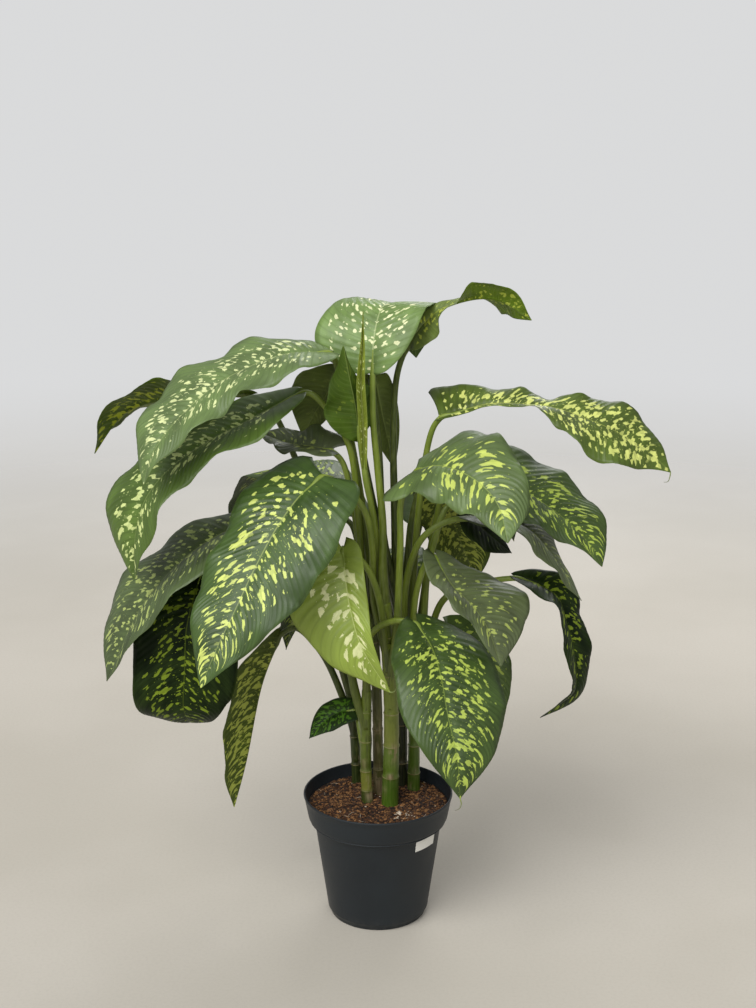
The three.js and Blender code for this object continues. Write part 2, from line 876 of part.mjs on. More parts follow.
function bladeSolid(leaf, line) {
  const along = clamp(Math.round(line.length / BLADE.stripLength), BLADE.fewest, BLADE.most);
  const across = BLADE.across;
  const grid = [];
  for (let i = 0; i <= along; i++) {
    const s = i / along;
    const frame = crossFrame(leaf, line, s);
    const row = [];
    for (let j = 0; j <= across; j++) {
      row.push(bladePoint(leaf, line, frame, s, (2 * j) / across - 1));
    }
    grid.push(row);
  }
  const facingOf = (i, j) => {
    const ahead = grid[Math.min(i + 1, along)][j].clone();
    ahead.sub(grid[Math.max(i - 1, 0)][j]);
    const over = grid[i][Math.min(j + 1, across)].clone();
    over.sub(grid[i][Math.max(j - 1, 0)]);
    return over.cross(ahead).normalize();
  };
  const points = [];
  for (const half of [0.5, -0.5]) {
    grid.forEach((row, i) =>
      row.forEach((p, j) =>
        points.push(p.clone().addScaledVector(facingOf(i, j), half * BLADE.thick)),
      ),
    );
  }
  const wide = across + 1;
  const under = (along + 1) * wide;
  const at = (i, j) => i * wide + j;
  const faces = [];
  for (let i = 0; i < along; i++) {
    for (let j = 0; j < across; j++) {
      const [a, b, c, d] = [at(i, j), at(i, j + 1), at(i + 1, j + 1), at(i + 1, j)];
      faces.push([a, b, c], [a, c, d]);
      faces.push([under + a, under + c, under + b], [under + a, under + d, under + c]);
    }
  }
  const rimLoop = [];
  for (let j = 0; j < across; j++) rimLoop.push(at(0, j));
  for (let i = 0; i < along; i++) rimLoop.push(at(i, across));
  for (let j = across; j > 0; j--) rimLoop.push(at(along, j));
  for (let i = along; i > 0; i--) rimLoop.push(at(i, 0));
  rimLoop.forEach((a, k) => {
    const b = rimLoop[(k + 1) % rimLoop.length];
    faces.push([a, under + a, under + b], [a, under + b, b]);
  });
  return solid(points, faces);
}

function stalkSolid(leaf, rib) {
  const cane = new Line(CANES[leaf.cane].path);
  const low = CANES[leaf.cane].path[0][2];
  const high = CANES[leaf.cane].path.at(-1)[2];
  const root = cane.at((leaf.at - low) / (high - low)).toArray();
  const line = new Line([
    root,
    ...leaf.via,
    leaf.rib[0],
    rib.at(STALK.sunk / 2).toArray(),
    rib.at(STALK.sunk).toArray(),
  ]);
  const bladeStart = 1 - (STALK.sunk * rib.length) / line.length;
  const steps = clamp(Math.round(line.length / STALK.stepLength), 6, 14);
  const stops = Array.from({ length: steps + 1 }, (_, i) => i / steps);
  const radiusAt = (s) =>
    s < bladeStart
      ? lerp(STALK.low, STALK.high, s / bladeStart)
      : lerp(STALK.high, STALK.end, (s - bladeStart) / (1 - bladeStart));
  return bar(line, STALK.sides, stops, radiusAt);
}

function leafSolid(leaf) {
  const rib = new Line(leaf.rib);
  const whole = bladeSolid(leaf, rib).add(stalkSolid(leaf, rib));
  return whole.subtract(caneSolid(CANES[leaf.cane], GAP));
}

// The largest connected body, without slivers that a cut leaves behind.
function mainBody(made) {
  const bodies = made.decompose();
  return bodies.reduce((best, body) => (body.volume() > best.volume() ? body : best));
}

// ---- the part -----------------------------------------------------------------------
const group = new THREE.Group();
group.name = "potted_dieffenbachia";
group.add(toMesh(potSolid(), "pot", "pot"));
group.add(toMesh(labelSolid(), "label", "label"));
group.add(toMesh(soilSolid(), "soil", "soil"));
for (const [key, cane] of Object.entries(CANES)) {
  group.add(toMesh(caneSolid(cane), `cane_${key}`, "cane"));
}
for (const [name, leaf] of Object.entries(LEAVES)) {
  const look = name === "pale" ? "paleLeaf" : "leaf";
  group.add(toMesh(mainBody(leafSolid(leaf)), `leaf_${name}`, look));
}

export default group;
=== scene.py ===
"""Potted dieffenbachia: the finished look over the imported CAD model.

Metres in Blender, +Z up. Plant measurements are in millimetres and scaled by MM.
"""

import math
import random
from types import SimpleNamespace as Sizes

import bpy
import numpy as np
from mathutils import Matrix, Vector


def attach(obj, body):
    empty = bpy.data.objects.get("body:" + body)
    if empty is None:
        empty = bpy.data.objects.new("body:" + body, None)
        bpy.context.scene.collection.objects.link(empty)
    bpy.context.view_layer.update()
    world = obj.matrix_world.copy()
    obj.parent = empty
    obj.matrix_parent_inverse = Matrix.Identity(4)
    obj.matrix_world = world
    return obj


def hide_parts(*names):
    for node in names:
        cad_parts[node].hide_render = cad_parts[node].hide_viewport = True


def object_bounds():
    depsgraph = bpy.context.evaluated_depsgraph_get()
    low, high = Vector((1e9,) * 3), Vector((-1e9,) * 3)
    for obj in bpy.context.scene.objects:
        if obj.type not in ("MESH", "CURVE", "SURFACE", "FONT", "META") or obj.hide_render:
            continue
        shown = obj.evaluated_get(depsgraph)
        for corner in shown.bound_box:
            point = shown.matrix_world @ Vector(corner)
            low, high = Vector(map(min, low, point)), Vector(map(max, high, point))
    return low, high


MM = 0.001
INSET = 0.0002  # metres that every piece keeps inside the box of the CAD model
random.seed(7)

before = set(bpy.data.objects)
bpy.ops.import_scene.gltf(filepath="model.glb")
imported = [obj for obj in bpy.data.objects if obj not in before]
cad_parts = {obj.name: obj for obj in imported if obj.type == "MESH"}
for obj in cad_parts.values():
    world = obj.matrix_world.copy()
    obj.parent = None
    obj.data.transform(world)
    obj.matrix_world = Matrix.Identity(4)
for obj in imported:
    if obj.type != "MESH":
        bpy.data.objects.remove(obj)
cad_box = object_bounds()

# ---- sizes, in millimetres ----
POT = Sizes(
    height=233, rim=135, band_low=126.5, band_z=189, shoulder_z=178, body_top=115,
    body_low=91.5, body_z=12, foot=86.5, wall=2.2, floor=3, sides=160,
    drains=8, drain_radius=4.5, drain_circle=60)
# start, end: degrees round from the front towards +X
LABEL = Sizes(start=36, end=60.5, low=157, high=177, gap=0.35, thick=0.45, lift=0.5, steps=24)
# height, edge: of the surface in the middle and at the pot; base: underside of the layer;
# margin, clear: kept free of litter at the pot and round each cane
SOIL = Sizes(height=213, edge=209, radius=127.5, base=204, sides=150, rings=46, margin=4,
             clear=9)
FIBRES = Sizes(count=420, length=(6, 22), thick=(0.22, 0.6), pale=0.08)
CHIPS = Sizes(count=2600, size=(1.2, 3.0), pale=0.012, pale_share=0.3, pale_spot=(48, -62),
              pale_reach=22)
# widest: where a plain blade is widest; round: length of the rounded base, as shares of the
# rib; full_lobe, lively: half widths that have whole base lobes and whole waves
BLADE = Sizes(thick=0.55, edge=1.0, widest=0.36, round=0.1, full_lobe=35, lively=40,
              pleat=0.9, columns=11)
# low, high, end: radius where it leaves the cane, at the blade and under the rib;
# sunk: share of the rib that it runs under
STALK = Sizes(sides=14, low=7.8, high=5.0, end=1.5, sunk=0.13)
CANE = Sizes(sides=30, bury=175, step=2.5, soil=204)
VEIN_STEP = 11.0  # between two side veins, along the midrib

# ---- studio, in metres ----
CAMERA = Sizes(place=(0, -2.808, 1.536), pitch=15.2, lens=60, sensor=36)
FLOOR = Sizes(half=12, fade=(1.2, 5.5))
SUN = Sizes(power=2.5, toward=(-0.40, -0.60, 0.70), spread=50)
# name, power, size, the direction it shines from, place
LAMPS = [("front_fill", 22, 2.2, (1.2, -3.4, 1.6), (1.2, -3.4, 2.2)),
         ("back_rim", 30, 2.0, (0.8, 2.6, 1.9), (0.8, 2.6, 2.6))]
SKY_TONE, SKY_LIGHT = (0.98, 0.99, 1.0), 0.36
WALL_TONE = (0.70, 0.705, 0.71)  # what the camera sees of the sky

# ---- canes: path from foot to top, radius at foot and top, heights of the leaf scars
CANES = {
    "a": ([(-16, 7, 150), (-22, 4, 300), (-20, 0, 430)], (11.5, 9), (234, 272, 330, 388)),
    "b": ([(20, -10, 150), (24, -12, 380), (12, -14, 600)], (16, 11),
          (268, 328, 390, 462, 535)),
    "c": ([(2, 35, 150), (-2, 33, 400), (-13, 26, 620)], (10, 8), (262, 340, 425, 510)),
    "d": ([(-38, 82, 150), (-44, 84, 320), (-55, 87, 480)], (9, 7.5), (250, 305, 360, 415)),
    "e": ([(44, 79, 150), (43, 81, 400), (33, 76, 640)], (12, 8),
          (255, 330, 410, 490, 570)),
    "f": ([(66, 58, 150), (66, 54, 340), (63, 47, 520)], (12, 8.5), (245, 300, 360, 425)),
}
# Colours up each cane as (height, colour); the near-black tones of cane e are painted shade.
CANE_TONES = {
    "a": [(200, "#2c3c08"), (232, "#30420a"), (238, "#74762e"), (268, "#6e7426"),
          (276, "#48590c"), (328, "#566614"), (420, "#61711e")],
    "b": [(200, "#3f5e08"), (264, "#3a5206"), (272, "#4b6208"), (324, "#4e640e"),
          (332, "#6c7226"), (388, "#68741f"), (600, "#64741a")],
    "c": [(200, "#3c3a16"), (300, "#4c4c20"), (620, "#4a5618")],
    "d": [(200, "#22300a"), (480, "#3c4c12")],
    "e": [(200, "#0e150a"), (400, "#141c0c"), (640, "#2c3a12")],
    "f": [(200, "#38540a"), (300, "#475e0e"), (520, "#4e6014")],
}
# Patches of old sheath as (height, degrees from +X towards +Y, reach up, reach round,
# strength), and buds as (height, degrees).
HUSKS = {
    "a": [(226, -50, 11, 55, 0.9), (250, -60, 14, 35, 0.6), (290, -120, 16, 40, 0.4)],
    "b": [(272, -95, 6, 22, 1.0), (318, -70, 15, 34, 0.85), (250, -140, 10, 25, 0.3)],
    "c": [(230, -90, 40, 70, 0.8), (330, -100, 40, 60, 0.5)],
    "d": [(262, -60, 10, 60, 0.4)],
    "e": [(260, -60, 8, 60, 0.2)],
    "f": [(250, -70, 9, 50, 0.4), (222, -120, 8, 40, 0.4)],
}
BUDS = {"a": [(242, -60)], "b": [(274, -95)], "f": [(252, -100)]}
# Stalks from these canes take darker tones: painted shade for the stalks at the back.
SHADED = "de"  # canes whose stalks stand at the back
STALK_TONES = [(0, "#434e0e"), (0.3, "#566312"), (0.6, "#6c7c1e"), (1, "#83963a")]
SHADED_TONES = [(0, "#2a330a"), (0.5, "#38440e"), (1, "#4c5a18")]
TAIL_TONES = [(0, "#8e9f50"), (1, "#3a3a1e")]


def linear(code):
    """The linear colour of a #rrggbb code."""
    parts = [int(code[i:i + 2], 16) / 255 for i in (1, 3, 5)]
    return tuple(c / 12.92 if c <= 0.04045 else ((c + 0.055) / 1.055) ** 2.4 for c in parts)


# ---- looks of the leaves ----
def look(base, fleck, cover, reach, size, under=None, through=0.35, long=1.0):
    """base, fleck: colours of the upper side; under: the underside; cover: share flecked;
    reach: how far out flecks go, 1 at the margin; size: of the flecks; long: how drawn out
    along the side veins; through: how much flecks show underneath."""
    return Sizes(base=linear(base), fleck=linear(fleck), under=linear(under or base),
                 cover=cover, reach=reach, size=size, through=through, long=long)


LOOKS = {
    "front": look("#47612a", "#dce878", 0.25, 0.85, 1.1),
    "long": look("#5f7a30", "#dce898", 0.24, 0.75, 1.2),
    "upper": look("#738b50", "#e4ecaa", 0.21, 0.8, 0.9),
    "crown": look("#7f9c54", "#f0f2bc", 0.17, 1.0, 0.8, under="#56702c"),
    # The far look's lighter olive tones and strong show-through are painted backlight.
    "far": look("#546c08", "#c4ce30", 0.3, 0.9, 1.1, under="#4e6406", through=0.9),
    # The top look's olive underside and strong show-through are painted backlight.
    "top": look("#7a8c42", "#ccd654", 0.2, 0.9, 0.9, under="#647e10", through=0.85),
    "rich": look("#3f5620", "#b9cc58", 0.28, 0.88, 0.95),
    "big": look("#687e46", "#cddb68", 0.22, 0.85, 0.9, long=1.6),
    "grey": look("#58683f", "#b2c06e", 0.2, 0.9, 0.9),
    "dull": look("#5f6a44", "#a9b65c", 0.16, 0.8, 0.9, under="#46553c", through=0.3),
    "last": look("#566a20", "#d9e07c", 0.34, 0.95, 1.1, under="#2c420f", through=0.7),
    "lime": look("#4b6228", "#b8cc54", 0.26, 0.9, 0.95, under="#2c420f", through=0.7),
    # Painted backlight: leaves lit from behind, their flecks showing right through.
    "painted_backlight": look("#4c5e08", "#c0ca58", 0.36, 1.0, 1.0, under="#4c5e06", through=1.0),
    # Painted shade: near-black tones for leaves hanging in shadow.
    "painted_deep_shade": look("#0e2203", "#82962a", 0.22, 0.85, 1.0, under="#0a1a02", through=0.5),
    "shade": look("#0e1c05", "#55652c", 0.1, 0.8, 0.8, under="#0e1e04", through=0.3),
    "mid": look("#5c6c26", "#8f9e48", 0.1, 0.8, 0.8, under="#66762e", through=0.4),
    "small": look("#122c03", "#4c741c", 0.4, 0.95, 0.6),
    "pale": look("#a6bc4c", "#eef0b4", 0.26, 0.7, 1.6),
    "young": look("#55720c", "#a9b83a", 0.12, 0.8, 0.7, under="#4c6806"),
    "spear": look("#93a238", "#d4da92", 0.12, 1.0, 0.5, under="#8a9c38", through=0.8),
}


# ---- leaves: as the solids are made, see each name's meaning there ----
class Leaf:
    """A leaf: its looks, its cane, the height where its stalk starts, points of the stalk and
    the midrib, and its form. right, left: half widths at even stations from the base, before
    the tip. facing: degrees from +X towards +Y; if None, as the rib runs. roll, fold, curl:
    degrees. wave: height, count and start, if not 0.2. lobe: reach of the base lobes."""

    facing, roll, fold, curl, wave = None, 0, (10, 10), 20, (5, 3)
    right, lobe, base_share = None, 22, 0.25

    def __init__(self, look_name, cane, at, via, rib, **form):
        self.look, self.cane, self.at, self.via, self.rib = LOOKS[look_name], cane, at, via, rib
        self.__dict__.update(form)


LEAVES = {
    "crown": Leaf("crown", "b", 595, [(8, -14, 650), (8, -10, 740), (0, -2, 830), (-8, 0, 920)],
        [(-10, 0, 1003), (-9, 8, 1040), (-4, 28, 1079), (8, 60, 1108), (30, 100, 1107),
        (50, 138, 1080), (62, 152, 1040), (68, 148, 1003)], right=[30, 64, 80, 80, 70, 45],
        left=[60, 104, 98, 78, 62, 42], facing=70, fold=[4, 8, 12], curl=10, wave=[4, 3], lobe=4),
    "top_far": Leaf("top", "e", 635, [(30, 74, 720), (27, 75, 850), (30, 75, 960),
        (42, 66, 1018)], [(60, 55, 1050), (82, 57, 1082), (115, 46, 1110), (168, 20, 1128),
        (210, -10, 1125), (255, -35, 1099)], right=[25, 42, 24, 46, 44],
        left=[12, 14, 22, 48, 35], facing=0, roll=[60, 45, 5, -30, -40, -45], fold=[20, 15, 10],
        wave=[5, 3.5, 0.1]),
    "upper_left": Leaf("upper", "c", 615, [(-18, 27, 680), (-34, 34, 800), (-50, 28, 900),
        (-64, 6, 990)], [(-78, -8, 1040), (-145, -20, 1042), (-207, -40, 1026), (-275, -65, 992),
        (-335, -98, 940), (-372, -120, 890), (-386, -130, 842)], right=[14, 70, 85, 98, 72],
        left=[50, 84, 68, 66, 45], roll=[-12, -16, -20], fold=[22, 12, 18], curl=30,
        wave=[9, 4, 0.1], lobe=12),
    "far_left": Leaf("far", "d", 475, [(-62, 86, 560), (-88, 100, 680), (-140, 134, 800),
        (-185, 128, 905)], [(-225, 110, 945), (-335, 115, 940), (-405, 110, 930),
        (-445, 100, 915), (-470, 90, 890), (-500, 75, 845)], right=[20, 50, 55, 54, 40],
        left=[20, 50, 62, 70, 52], roll=[20, 35, 30, 10], fold=[25, 15, 30], wave=[7, 3, 0.4]),
    "long_left": Leaf("long", "c", 540, [(-26, 8, 600), (-34, 12, 740), (-46, 15, 860),
        (-78, 14, 925), (-115, 11, 966)], [(-145, 10, 962), (-220, -10, 925), (-288, -35, 893),
        (-350, -55, 852), (-393, -70, 800), (-412, -75, 735), (-415, -80, 660)],
        right=[35, 75, 85, 98, 90], left=[45, 72, 62, 64, 60], roll=[-10, -15, -20],
        fold=[18, 14, 25], curl=30, wave=[7, 3.5, 0.6]),
    "mid_left": Leaf("dull", "c", 520, [(-26, 42, 600), (-40, 38, 740), (-58, 36, 830)],
        [(-80, 34, 862), (-125, 55, 865), (-165, 80, 865), (-215, 100, 880)], width=100,
        roll=[-20, -15, -10], fold=[25, 20], wave=[6, 2.5, 0.3]),
    "back_left": Leaf("mid", "e", 560, [(12, 92, 650), (-15, 90, 780), (-40, 72, 920),
        (-58, 58, 990)], [(-70, 62, 998), (-90, 90, 950), (-115, 120, 905), (-135, 140, 860)],
        right=[15, 35, 38, 34, 22], left=[20, 55, 62, 52, 30], facing=90, fold=[15, 20],
        wave=[4, 3]),
    "back_mid": Leaf("mid", "e", 590, [(10, 68, 690), (2, 62, 850), (-8, 60, 950)],
        [(-12, 74, 985), (-4, 92, 972), (4, 102, 930), (16, 110, 870), (30, 117, 805)], width=60,
        facing=90, wave=[3, 3]),
    "spear": Leaf("spear", "b", 540, [(8, 4, 610), (-6, -2, 740), (-21, -10, 820)],
        [(-24, -12, 860), (-26, -12, 930), (-29, -12, 990), (-26, -12, 1050), (-25, -12, 1110)],
        width=28, facing=90, fold=[70, 70, 78], curl=30, wave=[1, 4]),
    "young": Leaf("young", "c", 560, [(0, 22, 640), (-8, 16, 740), (-24, 6, 840)], [(-33, 0, 895),
        (-40, -8, 950), (-50, -20, 1005), (-58, -30, 1055)], right=[18, 50, 56, 42, 20],
        left=[12, 42, 42, 18, 6], facing=-60, fold=[20, 12, 12], wave=[4, 3]),
    "front_left": Leaf("front", "b", 515, [(-7, -8, 600), (-10, -23, 700), (-22, -34, 768),
        (-54, -44, 812)], [(-92, -61, 840), (-132, -94, 812), (-170, -130, 765),
        (-205, -165, 705), (-235, -195, 645), (-265, -220, 585), (-290, -235, 525)],
        right=[85, 98, 88, 85, 60], left=[90, 108, 112, 92, 52], facing=-110, fold=[10, 8, 12],
        curl=25, wave=[8, 4], base_share=0.6),
    "left_dark": Leaf("grey", "d", 385, [(-70, 78, 460), (-95, 62, 610), (-130, 42, 705),
        (-175, 28, 742)], [(-225, 20, 740), (-300, -5, 706), (-365, -25, 655), (-420, -40, 585),
        (-475, -50, 465)], right=[35, 75, 90, 110, 90], left=[35, 75, 85, 72, 45],
        roll=[-10, -10, -10], fold=[15, 15, 20], curl=25, wave=[6, 3, 0.5]),
    "low_left": Leaf("painted_deep_shade", "a", 370, [(-40, 0, 420), (-70, 6, 550), (-130, 20, 650),
        (-210, 36, 690), (-265, 44, 688)], [(-305, 40, 660), (-320, 0, 615), (-335, -30, 555),
        (-340, -35, 480), (-345, -30, 410), (-340, 0, 370), (-340, 40, 350)],
        right=[30, 85, 92, 92, 78], left=[30, 85, 92, 92, 70], facing=-90, fold=[8, 5, 8]),
    "edge_left": Leaf("painted_backlight", "d", 325, [(-66, 92, 380), (-100, 104, 455), (-145, 115, 503)],
        [(-180, 120, 495), (-220, 135, 385), (-250, 140, 235), (-275, 140, 135)],
        right=[20, 45, 55, 50, 38], left=[20, 60, 68, 62, 46], facing=180, roll=20,
        fold=[40, 35, 35], curl=15, wave=[4, 3]),
    "tip_back": Leaf("lime", "d", 370, [(-50, 110, 460), (-58, 122, 570), (-74, 122, 650)],
        [(-95, 125, 685), (-135, 165, 590), (-160, 190, 510), (-175, 205, 430)], width=100,
        fold=[15, 15], curl=25, lobe=12),
    "pale": Leaf("pale", "b", 500, [(6, -28, 585), (-7, -42, 645), (-28, -55, 687)],
        [(-60, -70, 715), (-55, -105, 670), (-45, -125, 615), (-25, -140, 555), (20, -140, 480)],
        right=[40, 98, 100, 72, 38], left=[30, 34, 32, 25, 15], facing=-100, fold=[15, 15, 20]),
    "small_low": Leaf("small", "a", 305, [(-31, 18, 338), (-36, 30, 362)], [(-45, 36, 376),
        (-72, 40, 370), (-100, 35, 352), (-125, 25, 325)], width=62, roll=[-35, -35],
        wave=[2, 2]),
    "front_right": Leaf("rich", "a", 425, [(-21, -8, 480), (-18, -26, 530), (-2, -46, 562),
        (30, -64, 582)], [(65, -80, 585), (90, -130, 560), (105, -180, 525), (115, -225, 475),
        (130, -260, 410), (135, -270, 345)], right=[30, 72, 80, 74, 45],
        left=[40, 92, 112, 108, 74], fold=[10, 8, 10], curl=30),
    "behind_right": Leaf("lime", "f", 345, [(84, 44, 410), (92, 31, 500), (105, 19, 545)],
        [(120, 10, 550), (165, 0, 505), (195, -10, 450), (210, -15, 405), (220, -15, 375)],
        right=[20, 40, 42, 36, 22], left=[20, 52, 60, 52, 32], facing=-70, wave=[4, 3]),
    "right_mid": Leaf("dull", "f", 395, [(60, 24, 465), (64, 14, 580), (76, 2, 645),
        (90, -10, 680)], [(100, -20, 685), (125, -65, 650), (160, -110, 625), (185, -150, 595),
        (205, -175, 540)], right=[30, 38, 40, 36, 22], left=[22, 52, 90, 100, 66], fold=[20, 12],
        wave=[6, 3]),
    "right_hang": Leaf("painted_deep_shade", "f", 415, [(88, 58, 490), (112, 60, 570), (150, 60, 600),
        (200, 56, 615)], [(245, 50, 625), (285, 40, 615), (320, 25, 595), (334, 10, 555),
        (347, 5, 510), (354, 5, 455), (350, 0, 425), (320, -5, 400), (290, -10, 380)],
        right=[15, 42, 45, 40, 28], left=[15, 42, 45, 40, 28], facing=0, roll=[25, 30, 35, 35],
        fold=[25, 20]),
    "right_big": Leaf("big", "b", 470, [(32, -32, 545), (38, -38, 700), (40, -38, 790)],
        [(62, -52, 846), (92, -80, 862), (125, -115, 865), (165, -150, 850), (195, -185, 820),
        (208, -228, 770)], right=[95, 76, 72, 65, 42], left=[110, 106, 102, 76, 48],
        roll=[25, 30, 24], fold=[10, 15], curl=30, wave=[7, 4], lobe=38, base_share=0.55),
    "right_far": Leaf("lime", "f", 450, [(76, 72, 530), (96, 76, 680), (118, 66, 790),
        (138, 62, 838)], [(160, 60, 850), (250, 30, 795), (320, 0, 750), (365, -30, 710),
        (385, -50, 675)], right=[30, 70, 75, 60, 38], left=[30, 76, 88, 84, 62],
        roll=[15, 20, 20], fold=[15, 12], curl=25, wave=[7, 3.5]),
    "right_under": Leaf("dull", "f", 440, [(48, 36, 515), (50, 31, 620), (74, 26, 698),
        (120, 22, 735)], [(170, 20, 745), (230, -10, 745), (270, -20, 725), (315, -25, 670),
        (355, -25, 605)], width=130, fold=[20, 10], curl=30),
    "speckled": Leaf("painted_backlight", "e", 560, [(52, 86, 640), (60, 88, 720), (78, 90, 785)],
        [(104, 92, 803), (128, 122, 740), (150, 146, 670), (184, 162, 585)],
        right=[24, 46, 62, 64, 50], left=[34, 66, 78, 72, 52], facing=60, curl=25, wave=[6, 3]),
    "back_right": Leaf("shade", "f", 465, [(80, 40, 535), (88, 38, 640), (112, 46, 735),
        (132, 56, 760)], [(150, 58, 752), (176, 62, 722), (208, 70, 690), (240, 80, 660)],
        width=86, roll=42, curl=25, wave=[4, 2.5], lobe=8),
    "top_right": Leaf("last", "f", 515, [(62, 50, 600), (67, 54, 690), (76, 50, 790),
        (90, 43, 880)], [(105, 30, 920), (185, 0, 950), (240, -20, 955), (305, -40, 950),
        (390, -60, 920), (450, -70, 885), (490, -80, 850)], right=[10, 12, 14, 42, 76, 58],
        left=[92, 48, 38, 36, 60, 50], roll=[30, 30, 12, 30, 34, 30], fold=[16, 16, 12, 8],
        wave=[9, 5], lobe=26, base_share=0.75),
    "back_a": Leaf("lime", "d", 450, [(-38, 106, 520), (-32, 134, 620), (-44, 156, 682)],
        [(-60, 165, 705), (-120, 238, 760), (-185, 300, 760), (-250, 350, 700), (-290, 380, 615)],
        width=180, fold=[15, 12, 15], curl=25, wave=[6, 3]),
    "back_b": Leaf("lime", "e", 500, [(56, 112, 560), (68, 160, 635), (78, 190, 680)],
        [(90, 205, 690), (135, 262, 740), (185, 312, 735), (235, 364, 675), (270, 392, 590)],
        width=180, fold=[15, 12, 15], curl=25, wave=[6, 3]),
    "back_c": Leaf("lime", "e", 430, [(38, 106, 490), (28, 134, 540)], [(20, 160, 560),
        (10, 240, 600), (-5, 315, 590), (-15, 380, 520), (-20, 410, 430)], width=170,
        fold=[15, 12, 15], curl=25, wave=[6, 3]),
}
# Thin curled ends of the drip tips.
TAILS = {
    "front_right": [(137, -270, 335), (134, -269, 326), (127, -268, 322)],
    "top_right": [(489, -80, 842), (486, -81, 834), (479, -81, 833)],
    "pale": [(27, -141, 481), (31, -140, 487), (32, -139, 494)],
}


# ---- small tools ----
def unit(v):
    return v / np.maximum(np.linalg.norm(v, axis=-1, keepdims=True), 1e-9)


def smooth(low, high, x):
    t = np.clip((x - low) / (high - low), 0, 1)
    return t * t * (3 - 2 * t)


def station(values, s):
    """Values at even stations, read smoothly at s from 0 to 1."""
    s = np.clip(np.asarray(s, float), 0, 1)
    if np.isscalar(values):
        return np.full(s.shape, float(values))
    v = np.array(values, float)
    if len(v) == 2:
        return v[0] + (v[1] - v[0]) * s
    padded = np.concatenate([[2 * v[0] - v[1]], v, [2 * v[-1] - v[-2]]])
    spans = len(v) - 1
    k = np.minimum((s * spans).astype(int), spans - 1)
    t = s * spans - k
    a, b, c, d = padded[k], padded[k + 1], padded[k + 2], padded[k + 3]
    return 0.5 * (2 * b + (c - a) * t + (2 * a - 5 * b + 4 * c - d) * t**2
                  + (3 * b - a - 3 * c + d) * t**3)


def blended(stops, values):
    """Colours at values between given (value, colour) stops."""
    at = [v for v, _ in stops]
    tones = np.array([linear(c) for _, c in stops])
    return np.stack([np.interp(values, at, tones[:, i]) for i in range(3)], -1)


def add_object(name, data):
    thing = bpy.data.objects.new(name, data)
    bpy.context.scene.collection.objects.link(thing)
    return thing


class Line:
    """A smooth curve through points, read by its true length from 0 to 1."""

    def __init__(self, points, samples=800):
        points = np.array(points, float)
        s = np.linspace(0, 1, samples + 1)
        self.samples = np.stack([station(points[:, i], s) for i in range(3)], -1)
        steps = np.linalg.norm(np.diff(self.samples, axis=0), axis=1)
        self.reach = np.concatenate([[0], np.cumsum(steps)])
        self.length = self.reach[-1]

    def at(self, s):
        goal = np.clip(s, 0, 1) * self.length
        return np.stack([np.interp(goal, self.reach, self.samples[:, i]) for i in range(3)], -1)

    def along(self, s):
        return unit(self.at(s + 0.004) - self.at(s - 0.004))


class Shape:
    """Points, faces, materials and point attributes gathered into one mesh object."""

    def __init__(self):
        self.points, self.faces, self.looks, self.marks = [], [], [], []
        self.count = 0

    def add(self, points, faces, look=0, **marks):
        points = np.asarray(points, float).reshape(-1, 3)
        self.points.append(points)
        self.faces += [tuple(int(i) + self.count for i in face) for face in faces]
        self.looks += [look] * len(faces)
        self.marks.append((self.count, len(points), marks))
        self.count += len(points)

    def build(self, name, materials, flat=False):
        mesh = bpy.data.meshes.new(name)
        points = np.concatenate(self.points) * MM
        lowest, highest = np.array(cad_box)
        points = np.clip(points, lowest + (INSET, INSET, 0), highest - INSET)
        mesh.from_pydata(points.tolist(), [], self.faces)
        for key in sorted({key for _, _, marks in self.marks for key in marks}):
            data = np.zeros((self.count, 3), np.float32)
            for start, size, marks in self.marks:
                if key in marks:
                    data[start:start + size] = np.asarray(marks[key]).reshape(-1, 3)
            layer = mesh.attributes.new(key, "FLOAT_VECTOR", "POINT")
            layer.data.foreach_set("vector", data.ravel())
        for material in materials:
            mesh.materials.append(material)
        mesh.polygons.foreach_set("material_index", self.looks)
        mesh.polygons.foreach_set("use_smooth", [not flat] * len(self.faces))
        mesh.validate()
        mesh.update()
        piece = add_object(name, mesh)
        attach(piece, "root")
        return piece


def even_turns(sides):
    return np.arange(sides) / sides * 2 * math.pi


def grid_faces(rows, columns, closed=False):
    """Quads over a grid of points, closed round its columns if asked."""
    faces = []
    for i in range(rows - 1):
        for j in range(columns if closed else columns - 1):
            a, b = i * columns + j, i * columns + (j + 1) % columns
            faces.append((a, b, b + columns, a + columns))
    return faces


def skin_faces(rings, sides):
    """Faces over rings of points, closed by fans on the first and last of two more points."""
    faces = grid_faces(rings, sides, closed=True)
    last = rings * sides
    for k in range(sides):
        following = (k + 1) % sides
        faces.append((last, following, k))
        faces.append((last + 1, last - sides + k, last - sides + following))
    return faces


def tube(line, sides, stops, radius_at):
    """A closed round bar along a line: its points, its faces, and each point's (s, turn)."""
    stops = np.asarray(stops, float)
    centres, aheads = line.at(stops), line.along(stops)
    across = np.array((1.0, 0, 0))
    turns = even_turns(sides)
    rows = []
    for s, centre, ahead in zip(stops, centres, aheads):
        across = unit(across - across.dot(ahead) * ahead)
        up = np.cross(ahead, across)
        radius = radius_at(s, turns)
        rows.append(centre + np.outer(np.cos(turns) * radius, across)
                    + np.outer(np.sin(turns) * radius, up))
    points = np.concatenate([*rows, centres[:1], centres[-1:]])
    place = np.stack([np.repeat(stops, sides), np.tile(turns, len(stops))], -1)
    place = np.concatenate([place, [[stops[0], 0], [stops[-1], 0]]])
    return points, skin_faces(len(stops), sides), place


def lathe(profile, sides):
    """Points and faces of a profile of (radius, height) turned about Z, from axis to axis."""
    turns = even_turns(sides)
    rings = [np.stack([r * np.sin(turns), -r * np.cos(turns), np.full(sides, z)], -1)
             for r, z in profile[1:-1]]
    ends = [(0, 0, profile[0][1]), (0, 0, profile[-1][1])]
    return np.concatenate([*rings, ends]), skin_faces(len(rings), sides)


